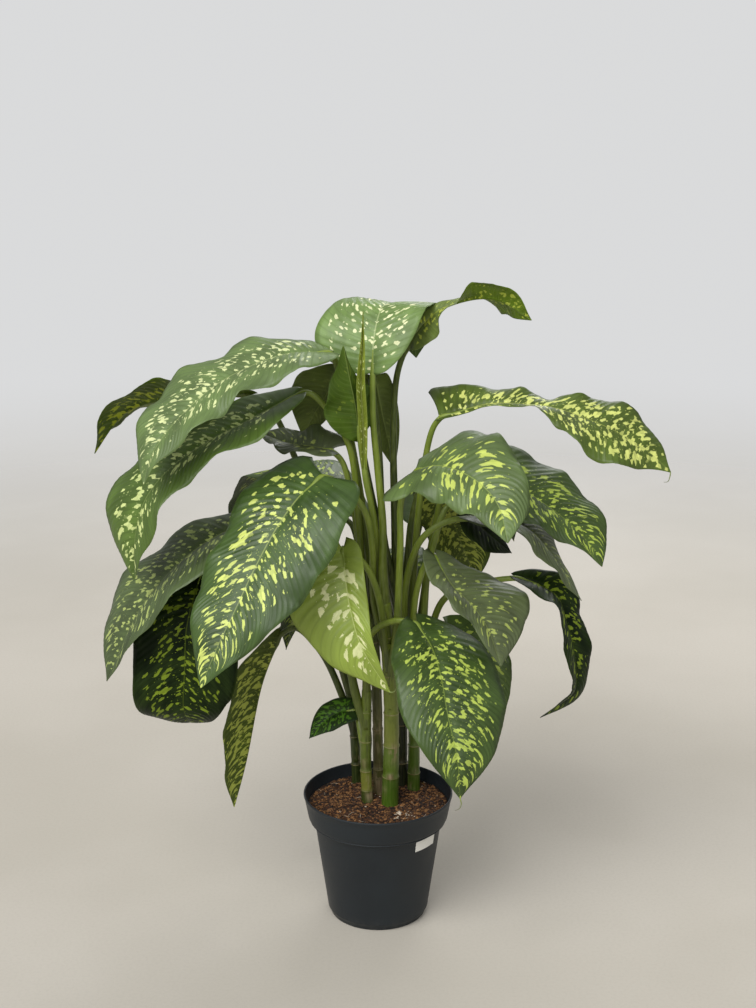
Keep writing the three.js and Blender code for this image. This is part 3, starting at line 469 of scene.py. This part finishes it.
# ---- materials ----
class Shader:
    """A node material under construction."""

    def __init__(self, name):
        self.material = bpy.data.materials.new(name)
        self.material.use_nodes = True
        self.tree = self.material.node_tree
        self.surface = self.tree.nodes["Principled BSDF"]

    def put(self, socket, value):
        if isinstance(value, bpy.types.NodeSocket):
            self.tree.links.new(value, socket)
        elif socket.type == "RGBA" and len(value) == 3:
            socket.default_value = (*value, 1)
        else:
            socket.default_value = value

    def add(self, kind, values, **settings):
        """The outputs of a new node; values go to its inputs by name or number."""
        node = self.tree.nodes.new("ShaderNode" + kind)
        for key, value in settings.items():
            setattr(node, key, value)
        for key, value in values.items():
            self.put(node.inputs[key], value)
        return node.outputs

    def finish(self, tone, roughness, normal=None, specular=None):
        """The material, with these values on its surface."""
        values = {"Base Color": tone, "Roughness": roughness, "Normal": normal,
                  "Specular IOR Level": specular}
        for name, value in values.items():
            if value is not None:
                self.put(self.surface.inputs[name], value)
        return self.material

    def mark(self, name):
        """A named attribute of the mesh, whole and as its x, y and z values."""
        vector = self.add("Attribute", {}, attribute_name=name)["Vector"]
        return vector, self.add("SeparateXYZ", {0: vector})

    def place(self):
        return self.add("TexCoord", {})["Object"]

    def math(self, operation, a, b):
        return self.add("Math", {0: a, 1: b}, operation=operation)[0]

    def times(self, a, b):
        return self.math("MULTIPLY", a, b)

    def scaled(self, vector, factors):
        return self.add("Mapping", {"Vector": vector, "Scale": factors})[0]

    def noise(self, vector, scale, detail, rough=0.5):
        """Noise at one scale, or at one for each axis."""
        if isinstance(scale, tuple):
            vector, scale = self.scaled(vector, scale), 1.0
        return self.add("TexNoise", {"Vector": vector, "Scale": scale, "Detail": detail,
                                     "Roughness": rough})[0]

    def ramp(self, value, low, high, to_low=0.0, to_high=1.0):
        """value eased from low..high onto to_low..to_high."""
        values = dict(enumerate((value, low, high, to_low, to_high)))
        return self.add("MapRange", values, interpolation_type="SMOOTHSTEP")[0]

    def mix(self, share, a, b):
        return self.add("Mix", {0: share, 6: a, 7: b}, data_type="RGBA")[2]

    def fade(self, a, b, value, low, high, most=1.0):
        """Colour a, turned into b by up to most as value goes from low to high."""
        return self.mix(self.ramp(value, low, high, 0, most), a, b)

    def bump(self, height, depth, strength, under=None):
        values = {"Height": height, "Distance": depth, "Strength": strength}
        if under is not None:
            values["Normal"] = under
        return self.add("Bump", values)[0]


def leaf_material():
    sh = Shader("leaf_blade")
    vein, (row, _, _) = sh.mark("vein")
    _, (_, across, under) = sh.mark("place")
    base, (_, lightness, _) = sh.mark("base_tone")
    fleck, _ = sh.mark("fleck_tone")
    below, _ = sh.mark("under_tone")
    _, (limit, through, rib) = sh.mark("fleck_rule")
    # flecks: cells between the fine veins, each wholly flecked or wholly green
    wobble = sh.add("TexNoise", {"Vector": sh.scaled(vein, (0.35, 0.2, 1))})["Color"]
    values = {0: wobble, 1: (0.6, 0.6, 0), 2: sh.scaled(vein, (0.21, 0.12, 11.0))}
    swayed = sh.add("VectorMath", values, operation="MULTIPLY_ADD")[0]
    cells = sh.add("TexVoronoi", {"Vector": swayed, "Scale": 1.0})
    field = sh.noise(cells["Position"], (0.60, 0.68, 1.0), 1.5)
    flecked = sh.ramp(sh.math("SUBTRACT", field, limit), -0.001, 0.004)
    drops = sh.noise(vein, (0.34, 0.24, 5.7), 1)
    small = sh.ramp(sh.math("SUBTRACT", drops, sh.math("ADD", limit, 0.13)), 0, 0.015)
    flecked = sh.math("MAXIMUM", flecked, small)
    # the green between: broad drift, fine veins, and painted shade darkening the furrows of the
    # side veins
    drift = sh.noise(vein, (0.02, 0.02, 2.1), 3)
    dark = sh.mix(0.4, base, (0, 0, 0))
    green = sh.fade(dark, sh.mix(0.12, base, (0.16, 0.24, 0.05)), drift, 0.3, 0.7)
    thread = sh.noise(vein, (0.9, 0.02, 1.0), 2)
    green = sh.fade(green, dark, thread, 0.4, 0.75, 0.35)
    comb = sh.math("PINGPONG", sh.times(row, 1 / VEIN_STEP), 0.5)
    line = sh.ramp(comb, 0.0, 0.16, 1, 0)
    # Painted shade: the upper side darkens along the side-vein furrows.
    green = sh.mix(sh.times(line, 0.35), green, sh.mix(0.6, base, (0, 0, 0)))
    own = sh.add("SeparateColor", {0: cells["Color"]})[0]
    bright = sh.mix(sh.times(own, 0.35), fleck, green)
    bright = sh.fade(bright, fleck, drops, 0.45, 0.7, 0.5)
    tone = sh.mix(flecked, green, bright)
    edge = sh.times(sh.ramp(across, 0.955, 0.99), 0.4)
    tone = sh.mix(edge, tone, sh.mix(0.3, base, (0.16, 0.24, 0.05)))
    ribbed = sh.ramp(rib, 0.55, 1.0, 1, 0)
    tone = sh.mix(sh.times(ribbed, 0.55), tone, sh.mix(0.45, base, fleck))
    # the underside: duller, the flecks showing through
    back = sh.fade(sh.mix(0.3, below, (0, 0, 0)), below, drift, 0.3, 0.7)
    back = sh.mix(sh.times(flecked, through), back, sh.mix(0.25, fleck, below))
    back = sh.mix(sh.times(line, 0.25), back, sh.mix(0.4, below, (0.3, 0.36, 0.10)))
    back = sh.mix(sh.times(ribbed, 0.7), back, sh.mix(0.5, below, (0.34, 0.42, 0.12)))
    gloss = sh.ramp(sh.noise(vein, (0.05, 0.05, 4.2), 3), 0.3, 0.7, 0.36, 0.50)
    ridges = sh.bump(thread, 0.0006, 0.5)
    grain = sh.noise(sh.place(), 900, 2)
    return sh.finish(sh.mix(under, tone, back), sh.math("ADD", gloss, sh.times(under, 0.14)),
                     sh.bump(grain, 0.0002, 0.35, ridges),
                     specular=sh.ramp(lightness, 0.01, 0.09, 0.12, 0.45))


def stalk_material():
    sh = Shader("leaf_stalk")
    tone, _ = sh.mark("base_tone")
    streak = sh.noise(sh.place(), (420, 420, 50.4), 3)
    blotch = sh.noise(sh.place(), (60, 60, 24), 2)
    body = sh.fade(tone, sh.mix(0.4, tone, (0.42, 0.48, 0.12)), streak, 0.35, 0.7, 0.4)
    body = sh.fade(body, sh.mix(0.6, tone, (0.04, 0.07, 0.01)), blotch, 0.4, 0.75, 0.5)
    return sh.finish(body, sh.ramp(streak, 0.3, 0.7, 0.36, 0.5), sh.bump(streak, 0.0006, 0.4))


def cane_material():
    sh = Shader("cane")
    tone, _ = sh.mark("base_tone")
    _, (_, ring, dry) = sh.mark("place")
    streak = sh.noise(sh.place(), (300, 300, 30), 3)
    stain = sh.noise(sh.place(), (75, 75, 41.25), 3, 0.6)
    body = sh.fade(tone, sh.mix(0.35, tone, (0.36, 0.38, 0.12)), streak, 0.35, 0.7, 0.3)
    body = sh.fade(body, sh.mix(0.55, tone, (0.02, 0.03, 0.0)), stain, 0.5, 0.7, 0.45)
    tan = sh.fade((0.20, 0.14, 0.07), (0.36, 0.28, 0.16), streak, 0.4, 0.65)
    husk = sh.times(dry, sh.ramp(stain, 0.40, 0.52))
    body = sh.mix(husk, body, tan)
    scar = sh.fade((0.34, 0.30, 0.15), (0.20, 0.15, 0.06), stain, 0.4, 0.6)
    body = sh.mix(sh.times(sh.ramp(ring, 0.2, 1.0, 1, 0), 0.75), body, scar)
    return sh.finish(body, sh.math("ADD", 0.42, sh.times(husk, 0.3)),
                     sh.bump(streak, 0.0008, 0.5, sh.bump(stain, 0.001, 0.3)))


def pot_material():
    sh = Shader("pot_plastic")
    where = sh.place()
    cloud = sh.noise(where, 9, 3)
    dust = sh.noise(where, (70, 70, 24.5), 4, 0.6)
    tone = sh.fade(linear("#1b2024"), linear("#20262a"), cloud, 0.3, 0.7)
    tone = sh.fade(tone, linear("#4a4a48"), dust, 0.6, 0.85, 0.10)
    height = sh.add("SeparateXYZ", {0: where})[2]
    splash = sh.times(sh.ramp(height, 0.0, 0.03, 0.16, 0), sh.ramp(dust, 0.4, 0.65))
    tone = sh.mix(splash, tone, linear("#5c5a54"))
    grain = sh.noise(where, 1500, 2)
    return sh.finish(tone, sh.ramp(cloud, 0.3, 0.7, 0.46, 0.58), sh.bump(grain, 0.0002, 0.3),
                     specular=0.35)


def label_material():
    sh = Shader("label_paper")
    fibre = sh.noise(sh.place(), 900, 3)
    tone = sh.fade(linear("#e9e7e1"), linear("#dfddd5"), fibre, 0.3, 0.7)
    return sh.finish(tone, sh.ramp(fibre, 0.3, 0.7, 0.5, 0.62), sh.bump(fibre, 0.0001, 0.3))


def soil_material(name, dark, light, pale):
    sh = Shader(name)
    where = sh.place()
    crumb = sh.noise(where, 190, 5, 0.65)
    tone = sh.fade(linear(dark), linear(light), crumb, 0.40, 0.60)
    tone = sh.fade(tone, linear(pale), sh.noise(where, 38, 3), 0.5, 0.72, 0.55)
    return sh.finish(tone, sh.ramp(crumb, 0.3, 0.7, 0.8, 0.98), sh.bump(crumb, 0.004, 0.7))


def floor_material():
    """A pale floor that fades into the backdrop behind the plant."""
    sh = Shader("floor")
    where = sh.place()
    tone = sh.fade(linear("#c9c3b8"), linear("#bfb9ad"), sh.noise(where, 1.2, 4), 0.3, 0.7)
    tone = sh.fade(tone, linear("#a29c90"), sh.noise(where, 160, 3, 0.7), 0.4, 0.7, 0.12)
    reach = sh.add("VectorMath", {0: where}, operation="LENGTH")["Value"]
    values = {0: sh.ramp(reach, *FLOOR.fade), 1: sh.surface.outputs[0],
              2: sh.add("BsdfTransparent", {})[0]}
    surface = sh.tree.nodes["Material Output"].inputs["Surface"]
    sh.put(surface, sh.add("MixShader", values)[0])
    return sh.finish(tone, 0.9, specular=0.2)


# ---- pot, label, soil ----
def body_radius(z):
    t = (z - POT.body_z) / (POT.shoulder_z - POT.body_z)
    return POT.body_low + (POT.body_top - POT.body_low) * t


def arc(centre, radius, start, stop, steps):
    """Points on an arc, degrees from +r towards +z."""
    turns = np.radians(np.linspace(start, stop, steps))
    return [(centre[0] + radius * math.cos(t), centre[1] + radius * math.sin(t)) for t in turns]


def pot_profile():
    wall, top, rim, foot = POT.wall, POT.height, POT.rim, POT.foot
    low, high, body, band = POT.shoulder_z, POT.band_z, POT.body_top, POT.band_low
    corner, corner_z = POT.body_low, POT.body_z
    lean = (rim - band) / (top - high)
    outside = [(0, 0), (foot - 1.5, 0), (foot - 0.5, 0.4), (foot, 1.2), (foot + 0.8, 5),
               (corner - 0.7, corner_z - 1), (corner, corner_z), (corner + 0.3, corner_z + 1.5)]
    outside += [(body_radius(z), z) for z in (40, 80, 120, 150, low - 4)]
    outside += [(body, low - 1), (body + 0.9, low + 0.6), (body + 4.5, low + 3),
                (body + 9, low + 5.6), (band - 3.2, high - 3.6), (band - 1.0, high - 1.6),
                (band, high + 0.4), (band + 0.35, high + 2)]
    outside += [(band + lean * (z - high), z) for z in (205, 218, top - 4.5)]
    outside += [(rim - 0.35, top - 4), (rim, top - 3.2)]
    outside += arc((rim - 1.6, top - 1.6), 1.6, 0, 180, 9)
    inside = [(rim - wall - 1.4, top - 3), (rim - wall - 1.8, top - 8), (band - wall, high + 1),
              (body - wall, low + 1), (body_radius(60) - wall, 60),
              (body_radius(corner_z) - wall, 10), (foot - 4, POT.floor), (0, POT.floor)]
    return outside + inside


def make_pot(material):
    shape = Shape()
    shape.add(*lathe(pot_profile(), POT.sides))
    pot = shape.build("pot_shell", [material])
    holes = Shape()
    for k in range(POT.drains):
        turn = (k + 0.5) / POT.drains * 2 * math.pi
        x, y = POT.drain_circle * math.cos(turn), POT.drain_circle * math.sin(turn)
        line = Line([(x, y, -3), (x, y, 2), (x, y, POT.floor + 3)])
        points, faces, _ = tube(line, 24, [0, 1], lambda s, turns: POT.drain_radius)
        holes.add(points, faces)
    cutter = holes.build("drains", [material])
    cut = pot.modifiers.new("drains", "BOOLEAN")
    cut.operation = "DIFFERENCE"
    cut.object = cutter
    cut.solver = "EXACT"
    ready = pot.evaluated_get(bpy.context.evaluated_depsgraph_get())
    mesh = bpy.data.meshes.new_from_object(ready)
    pot.modifiers.clear()
    pot.data = mesh
    bpy.data.objects.remove(cutter)
    mesh.polygons.foreach_set("use_smooth", [True] * len(mesh.polygons))
    mesh.set_sharp_from_angle(angle=math.radians(50))
    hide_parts("pot")


def make_label(material):
    """The blank label, its far end lifting a little."""
    low, high, steps = LABEL.low, LABEL.high, LABEL.steps
    rows = []
    for k in range(steps + 1):
        turn = math.radians(LABEL.start + (LABEL.end - LABEL.start) * k / steps)
        ring = []
        for out, z in ((0, low), (1, low), (1, high), (0, high)):
            r = body_radius(z) + LABEL.gap + out * LABEL.thick
            r += LABEL.lift * smooth(0.86, 1.0, k / steps)
            ring.append((r * math.sin(turn), -r * math.cos(turn), z))
        rows.append(ring)
    faces = grid_faces(steps + 1, 4, closed=True)
    faces += [(3, 2, 1, 0), tuple(steps * 4 + i for i in range(4))]
    shape = Shape()
    shape.add(np.array(rows), faces)
    label = shape.build("blank_label", [material], flat=True)
    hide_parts("label")


def soil_height(x, y):
    reach = np.hypot(x, y) / SOIL.radius
    base = SOIL.height + (SOIL.edge - SOIL.height) * reach**2
    swell = np.sin(x / 13 + 0.6) * np.cos(y / 17) + np.sin((x + y) / 23)
    crumbs = np.sin(x / 3.1 + np.sin(y / 4.3)) * np.sin(y / 2.7 + np.sin(x / 5.1))
    lumps = np.sin(x / 6.3 + 1.7 * np.sin(y / 9.1)) * np.sin(y / 5.6 + 1.3 * np.sin(x / 8.3))
    return base + (0.9 * swell + 1.3 * crumbs + 1.9 * lumps) * np.clip((1 - reach) * 6, 0, 1)


def make_soil(material):
    turns = even_turns(SOIL.sides)
    x, y = np.cos(turns), np.sin(turns)
    edge = SOIL.radius * 0.97
    rows = [np.stack([edge * x, edge * y, np.full(SOIL.sides, SOIL.base)], -1)]
    for k in range(SOIL.rings):
        r = SOIL.radius * (1 - k / SOIL.rings)
        rows.append(np.stack([r * x, r * y, soil_height(r * x, r * y)], -1))
    middle = float(soil_height(0.0, 0.0))
    points = np.concatenate([*rows, [(0, 0, SOIL.base), (0, 0, middle)]])
    shape = Shape()
    shape.add(points, skin_faces(len(rows), SOIL.sides))
    soil = shape.build("soil_surface", [material])
    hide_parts("soil")


def make_litter(materials):
    """Loose fibres and crumbs on the soil; the third material is the pale one."""
    litter = Shape()
    feet = [Line(path).at(0.12)[:2] for path, _, _ in CANES.values()]
    limit = SOIL.radius - SOIL.margin

    def spot():
        while True:
            x, y = random.uniform(-limit, limit), random.uniform(-limit, limit)
            if math.hypot(x, y) > limit:
                continue
            if min(math.dist((x, y), foot) for foot in feet) > SOIL.clear:
                return x, y

    for _ in range(FIBRES.count):
        x, y = spot()
        turn, length = random.uniform(0, 2 * math.pi), random.uniform(*FIBRES.length)
        rise, bend = random.uniform(-0.5, 2.6), random.uniform(-0.5, 0.5)
        dx, dy = math.cos(turn) * length / 2, math.sin(turn) * length / 2
        points = []
        for k in (-1, 0, 1):
            px = x + dx * k - dy * bend * (1 - k * k)
            py = y + dy * k + dx * bend * (1 - k * k)
            keep = min(1, (limit + 1) / max(math.hypot(px, py), 1))
            px, py = px * keep, py * keep
            height = float(soil_height(px, py)) + 0.3 + rise * (1 - k * k)
            points.append((px, py, height))
        thick = random.uniform(*FIBRES.thick)
        points, faces, _ = tube(Line(points, 12), 3, np.linspace(0, 1, 5),
                                lambda s, turns: thick * (1.1 - 0.9 * s))
        litter.add(points, faces, look=2 if random.random() < FIBRES.pale else 0)
    for _ in range(CHIPS.count):
        x, y = spot()
        z = float(soil_height(x, y)) + 0.5
        size = random.uniform(*CHIPS.size) * (1.9 if random.random() < 0.2 else 1)
        turns = np.radians(np.array([0, 72, 144, 216, 288]) + random.uniform(0, 72))
        wide = [random.uniform(0.6, 1.2) * size for _ in turns]
        tilt = random.uniform(-0.5, 0.5)
        ring = [(x + w * math.cos(t), y + w * math.sin(t) * 0.7, z + tilt * w * math.sin(t))
                for w, t in zip(wide, turns)]
        points = [*ring, (x, y, z + size * random.uniform(0.3, 0.8)), (x, y, z - size * 0.5)]
        faces = [(i, (i + 1) % 5, 5) for i in range(5)] + [((i + 1) % 5, i, 6) for i in range(5)]
        near = math.dist((x, y), CHIPS.pale_spot) < CHIPS.pale_reach
        pale = random.random() < (CHIPS.pale_share if near else CHIPS.pale)
        litter.add(points, faces, look=2 if pale else random.choice((0, 0, 1)))
    litter.build("soil_litter", materials, flat=True)


# ---- canes ----
def make_cane(key, material):
    path, (foot, top), scars = CANES[key]
    line = Line(path)
    low, high = path[0][2], path[-1][2]
    heights = [*np.arange(CANE.bury, high, CANE.step), high - 3, high - 1.2, high]
    stops = (np.sort(heights) - low) / (high - low)

    def radius_at(s, turns):
        z = low + s * (high - low)
        swell = sum(1.1 * math.exp(-(((z - n) / 1.8) ** 2)) for n in scars)
        waist = sum(-0.6 * math.exp(-(((z - n - 8) / 6) ** 2)) for n in scars)
        swell += 0.9 * math.exp(-(((z - CANE.soil) / 9) ** 2))
        tip = 1.8 * smooth(high - 3, high, z)
        flute = 0.22 * np.sin(turns * 5 + z / 60) + 0.15 * np.sin(turns * 9 + z / 31)
        return foot + (top - foot) * s + swell + waist - tip + flute

    points, faces, _ = tube(line, CANE.sides, stops, radius_at)
    z = points[:, 2]
    axis = line.at((z - low) / (high - low))
    turn = np.degrees(np.arctan2(points[:, 1] - axis[:, 1], points[:, 0] - axis[:, 0]))
    ring = np.min([np.abs(z - n) for n in scars], axis=0) / 1.5

    def near(height, heading, up, around):
        away = np.abs((turn - heading + 180) % 360 - 180)
        return np.exp(-(((z - height) / up) ** 2 + (away / around) ** 2))

    dry = np.zeros(len(z))
    for *where, strength in HUSKS[key]:
        dry = np.maximum(dry, strength * near(*where))
    for height, heading in BUDS.get(key, []):
        bulge = 0.16 * near(height, heading, 4.5, 24)
        points[:, :2] += (points[:, :2] - axis[:, :2]) * bulge[:, None]
    shape = Shape()
    shape.add(points, faces, base_tone=blended(CANE_TONES[key], z),
              place=np.stack([z, ring, dry], -1))
    cane = shape.build("stem_" + key, [material])
    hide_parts("cane_" + key)


# ---- leaves ----
def outline(s):
    widest = BLADE.widest
    t = 1 - s / widest
    low = 0.3 + 0.7 * np.sqrt(np.clip(1 - t * t, 0, 1))
    t = np.clip((s - widest) / (1 - widest), 0, 1)
    return np.where(s < widest, low, (1 - t * t) ** 1.12)


def half_width(leaf, right, s):
    if leaf.right:
        wide = np.where(right, station([*leaf.right, 1], s), station([*leaf.left, 1], s))
        t = np.clip(1 - s / BLADE.round, 0, 1)
        wide = wide * (leaf.base_share + (1 - leaf.base_share) * np.sqrt(1 - t * t))
    else:
        wide = leaf.width / 2 * outline(s)
    return np.maximum(wide, BLADE.edge)


def cross_frame(leaf, rib, s):
    first, last = leaf.rib[0], leaf.rib[-1]
    facing = math.atan2(last[1] - first[1], last[0] - first[0])
    if leaf.facing is not None:
        facing = math.radians(leaf.facing)
    ahead = rib.along(s)
    side = np.broadcast_to([math.sin(facing), -math.cos(facing), 0], ahead.shape)
    side = unit(side - np.sum(side * ahead, -1, keepdims=True) * ahead)
    upper = np.cross(side, ahead)
    roll = np.radians(station(leaf.roll, s))[..., None]
    return (ahead, side * np.cos(roll) - upper * np.sin(roll),
            upper * np.cos(roll) + side * np.sin(roll))


def blade_points(leaf, rib, s, t):
    """Points of the blade's middle surface; t runs from the left margin -1 to the right 1."""
    right, a = t >= 0, np.abs(t)
    side = np.where(right, 1.0, -1.0)
    wide = half_width(leaf, right, s)
    fold = np.radians(station(leaf.fold, s))
    curl = math.radians(leaf.curl)
    outward = wide * (np.sin(fold) - np.sin(fold - curl * a)) / curl
    lift = wide * (np.cos(fold - curl * a) - np.cos(fold)) / curl
    height, count, start = (*leaf.wave, 0.2)[:3]
    height = height * np.clip(wide / BLADE.lively, 0, 1)
    turn = 2 * math.pi * (count * s + start + np.where(right, 0, 0.35))
    ends = np.sin(math.pi * np.clip(s, 0, 1))
    ripple = height * a**2.2 * np.sin(turn) * ends**0.6
    ripple += 0.16 * height * a**3.5 * np.sin(turn * 2.7 + 1.3) * ends
    full = 1.0
    if leaf.right:
        full = np.clip(np.where(right, leaf.right[0], leaf.left[0]) / BLADE.full_lobe, 0, 1)
    back = full * leaf.lobe * a**1.5 * (1 - s) ** 7
    ahead, across, out = cross_frame(leaf, rib, s)
    return (rib.at(s) + across * (side * outward)[..., None]
            + out * (lift + ripple)[..., None] - ahead * back[..., None])


def make_blade(shape, leaf, rib, number):
    rows = max(40, int(rib.length / 2.0))
    share = np.linspace(0, 1, BLADE.columns + 1) ** 1.15
    t = np.concatenate([-share[:0:-1], share])
    row, t = np.meshgrid(np.linspace(0, 1, rows + 1), t, indexing="ij")
    a, right = np.abs(t), t >= 0
    # each row of points follows a side vein, which leaves the rib and bends towards the tip
    typical = float(np.max(half_width(leaf, right[0], np.full(right[0].shape, 0.4))))
    slant = min(0.85 * typical / rib.length, 0.24)
    s = row + slant * (0.55 * a + 0.45 * a * a) * np.sin(math.pi * row) ** 0.8
    s = np.clip(s, 0, 1)
    middle = blade_points(leaf, rib, s, t)
    wide = half_width(leaf, right, s)
    normal = unit(np.cross(np.gradient(middle, axis=1), np.gradient(middle, axis=0)))
    q, x = row * rib.length, a * wide
    full = np.clip(wide / 45, 0.15, 1)
    hump = 0.62 - np.abs(np.cos(math.pi * q / VEIN_STEP)) ** 1.6
    pleat = BLADE.pleat * full * hump * np.clip(a * 7, 0, 1) * (1 - a**6 * 0.6)
    girth = 3.2 * (1 - s) ** 0.8 + 0.5
    groove = -0.5 * girth * np.exp(-((x / (girth * 0.9)) ** 2)) * np.clip(row * 12, 0, 1)
    ridge = 0.75 * girth * np.exp(-((x / (girth * 0.75)) ** 2))
    thick = BLADE.thick * (1 - 0.5 * a**4)
    top = middle + normal * (thick / 2 + pleat + groove)[..., None]
    under = middle - normal * (thick / 2 - pleat - groove + ridge)[..., None]
    look = leaf.look
    cover = look.cover * (1 - smooth(look.reach - 0.35, look.reach + 0.08, a))
    cover = cover * (0.35 + 0.65 * smooth(0.0, 0.2, s)) * (1 - 0.6 * smooth(0.9, 1, s))
    cover = np.clip(cover, 0.0005, 0.95)
    limit = 0.5 + 0.115 * np.log((1 - cover) / cover) / 1.702
    size, drawn = look.size, look.size * look.long
    vein = np.stack([q / size, np.where(right, x, -x) * 1.15 / drawn,
                     np.full_like(q, number * 1.37)], -1)
    rule = np.stack([limit, np.full_like(q, look.through), x / (girth * 0.5)], -1)
    columns = middle.shape[1]
    total = middle.shape[0] * columns
    faces = grid_faces(rows + 1, columns)
    faces += [(d + total, c + total, b + total, a_ + total) for a_, b, c, d in faces]
    loop = list(range(columns - 1))
    loop += [i * columns + columns - 1 for i in range(rows)]
    loop += [rows * columns + j for j in range(columns - 1, 0, -1)]
    loop += [i * columns for i in range(rows, 0, -1)]
    for p, n in zip(loop, [*loop[1:], loop[0]]):
        faces.append((n, p, p + total, n + total))
    place = [np.stack([s, a, np.full_like(s, side)], -1) for side in (0, 1)]
    tones = {"base_tone": look.base, "fleck_tone": look.fleck, "under_tone": look.under}
    shape.add([top, under], faces, vein=[vein, vein], place=place, fleck_rule=[rule, rule],
              **{key: np.broadcast_to(tone, (2 * total, 3)) for key, tone in tones.items()})


def add_bar(shape, line, sides, stops, radius_at, tones):
    """A round bar in the second material."""
    points, faces, place = tube(line, sides, stops, radius_at)
    shape.add(points, faces, look=1, base_tone=blended(tones, place[:, 0]),
              place=np.column_stack([place, np.zeros(len(place))]))


def make_stalk(shape, leaf, rib):
    path, (foot, top), _ = CANES[leaf.cane]
    cane = Line(path)
    low, high = path[0][2], path[-1][2]
    sheath = [cane.at((z - low) / (high - low)) for z in (leaf.at - 70, leaf.at - 20)]
    sunk = STALK.sunk
    ends = np.array([0, sunk / 2, sunk])
    low_side = -cross_frame(leaf, rib, ends)[2] * np.array([[3.5], [3.0], [1.6]])
    line = Line([*sheath, *leaf.via, *(rib.at(ends) + low_side)])
    start = 1 - sunk * rib.length / line.length
    wrap = (foot + top) / 2 * 0.8 + 1.5

    def radius_at(s, turns):
        t = s / start
        plain = STALK.low + (STALK.high - STALK.low) * t
        plain += max(wrap - STALK.low, 0) * (1 - smooth(0, 0.45, t))
        if s > start:
            t = (s - start) / (1 - start)
            plain = STALK.high + (STALK.end - STALK.high) * t
        return plain * (1 + 0.05 * np.sin(turns * 3 + s * 5) + 0.03 * np.sin(turns * 7))

    stops = np.linspace(0, 1, max(24, int(line.length / 6)))
    tones = SHADED_TONES if leaf.cane in SHADED else STALK_TONES
    add_bar(shape, line, STALK.sides, stops, radius_at, tones)


def make_leaf(number, name, materials):
    leaf = LEAVES[name]
    rib = Line(leaf.rib)
    shape = Shape()
    make_blade(shape, leaf, rib, number)
    make_stalk(shape, leaf, rib)
    if name in TAILS:
        line = Line([leaf.rib[-1], *TAILS[name]])
        stops = np.linspace(0, 1, 10)
        add_bar(shape, line, 6, stops, lambda s, turns: 1.1 - 0.8 * s, TAIL_TONES)
    piece = shape.build("foliage_" + name, materials)
    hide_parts("leaf_" + name)


# ---- camera, light, floor ----
def make_camera():
    camera = add_object("camera", bpy.data.cameras.new("camera"))
    camera.data.lens = CAMERA.lens
    camera.data.sensor_width = CAMERA.sensor
    camera.location = CAMERA.place
    camera.rotation_euler = (math.radians(90 - CAMERA.pitch), 0, 0)
    bpy.context.scene.camera = camera


def make_light(name, kind, power, toward, place=(0, 0, 0), **form):
    """A light that shines from the direction toward."""
    light = add_object(name, bpy.data.lights.new(name, kind))
    light.data.energy = power
    for key, value in form.items():
        setattr(light.data, key, value)
    light.location = place
    light.rotation_euler = Vector(toward).to_track_quat("Z", "Y").to_euler()


def make_world():
    world = bpy.data.worlds.new("sky")
    world.use_nodes = True
    nodes, links = world.node_tree.nodes, world.node_tree.links
    light = nodes["Background"]
    light.inputs["Color"].default_value = (*SKY_TONE, 1)
    light.inputs["Strength"].default_value = SKY_LIGHT
    seen = nodes.new("ShaderNodeBackground")
    seen.inputs["Color"].default_value = (*WALL_TONE, 1)
    path, choose = nodes.new("ShaderNodeLightPath"), nodes.new("ShaderNodeMixShader")
    links.new(path.outputs["Is Camera Ray"], choose.inputs[0])
    links.new(light.outputs[0], choose.inputs[1])
    links.new(seen.outputs[0], choose.inputs[2])
    links.new(choose.outputs[0], nodes["World Output"].inputs["Surface"])
    bpy.context.scene.world = world


def make_studio():
    mesh = bpy.data.meshes.new("floor")
    size = FLOOR.half
    mesh.from_pydata([(-size, -size, 0), (size, -size, 0), (size, size, 0), (-size, size, 0)],
                     [], [(0, 1, 2, 3)])
    mesh.materials.append(floor_material())
    floor = add_object("floor", mesh)
    floor.location.z = -0.0005
    make_world()
    make_light("high_light", "SUN", SUN.power, SUN.toward, angle=math.radians(SUN.spread))
    for name, power, size, toward, place in LAMPS:
        make_light(name, "AREA", power, toward, place, shape="DISK", size=size)
    bpy.context.scene.view_settings.view_transform = "Standard"


make_camera()
make_studio()
make_pot(pot_material())
make_label(label_material())
make_soil(soil_material("soil", "#0c0603", "#4a2c16", "#6b4626"))
make_litter([soil_material("coir", "#4a2c16", "#94683c", "#ab8050"),
             soil_material("peat", "#0e0704", "#4a2d18", "#6a4628"),
             soil_material("pale_fibre", "#a08a70", "#d6c9b4", "#cfc4b2")])
cane_look = cane_material()
for key in CANES:
    make_cane(key, cane_look)
leaf_looks = [leaf_material(), stalk_material()]
for number, name in enumerate(LEAVES):
    make_leaf(number, name, leaf_looks)
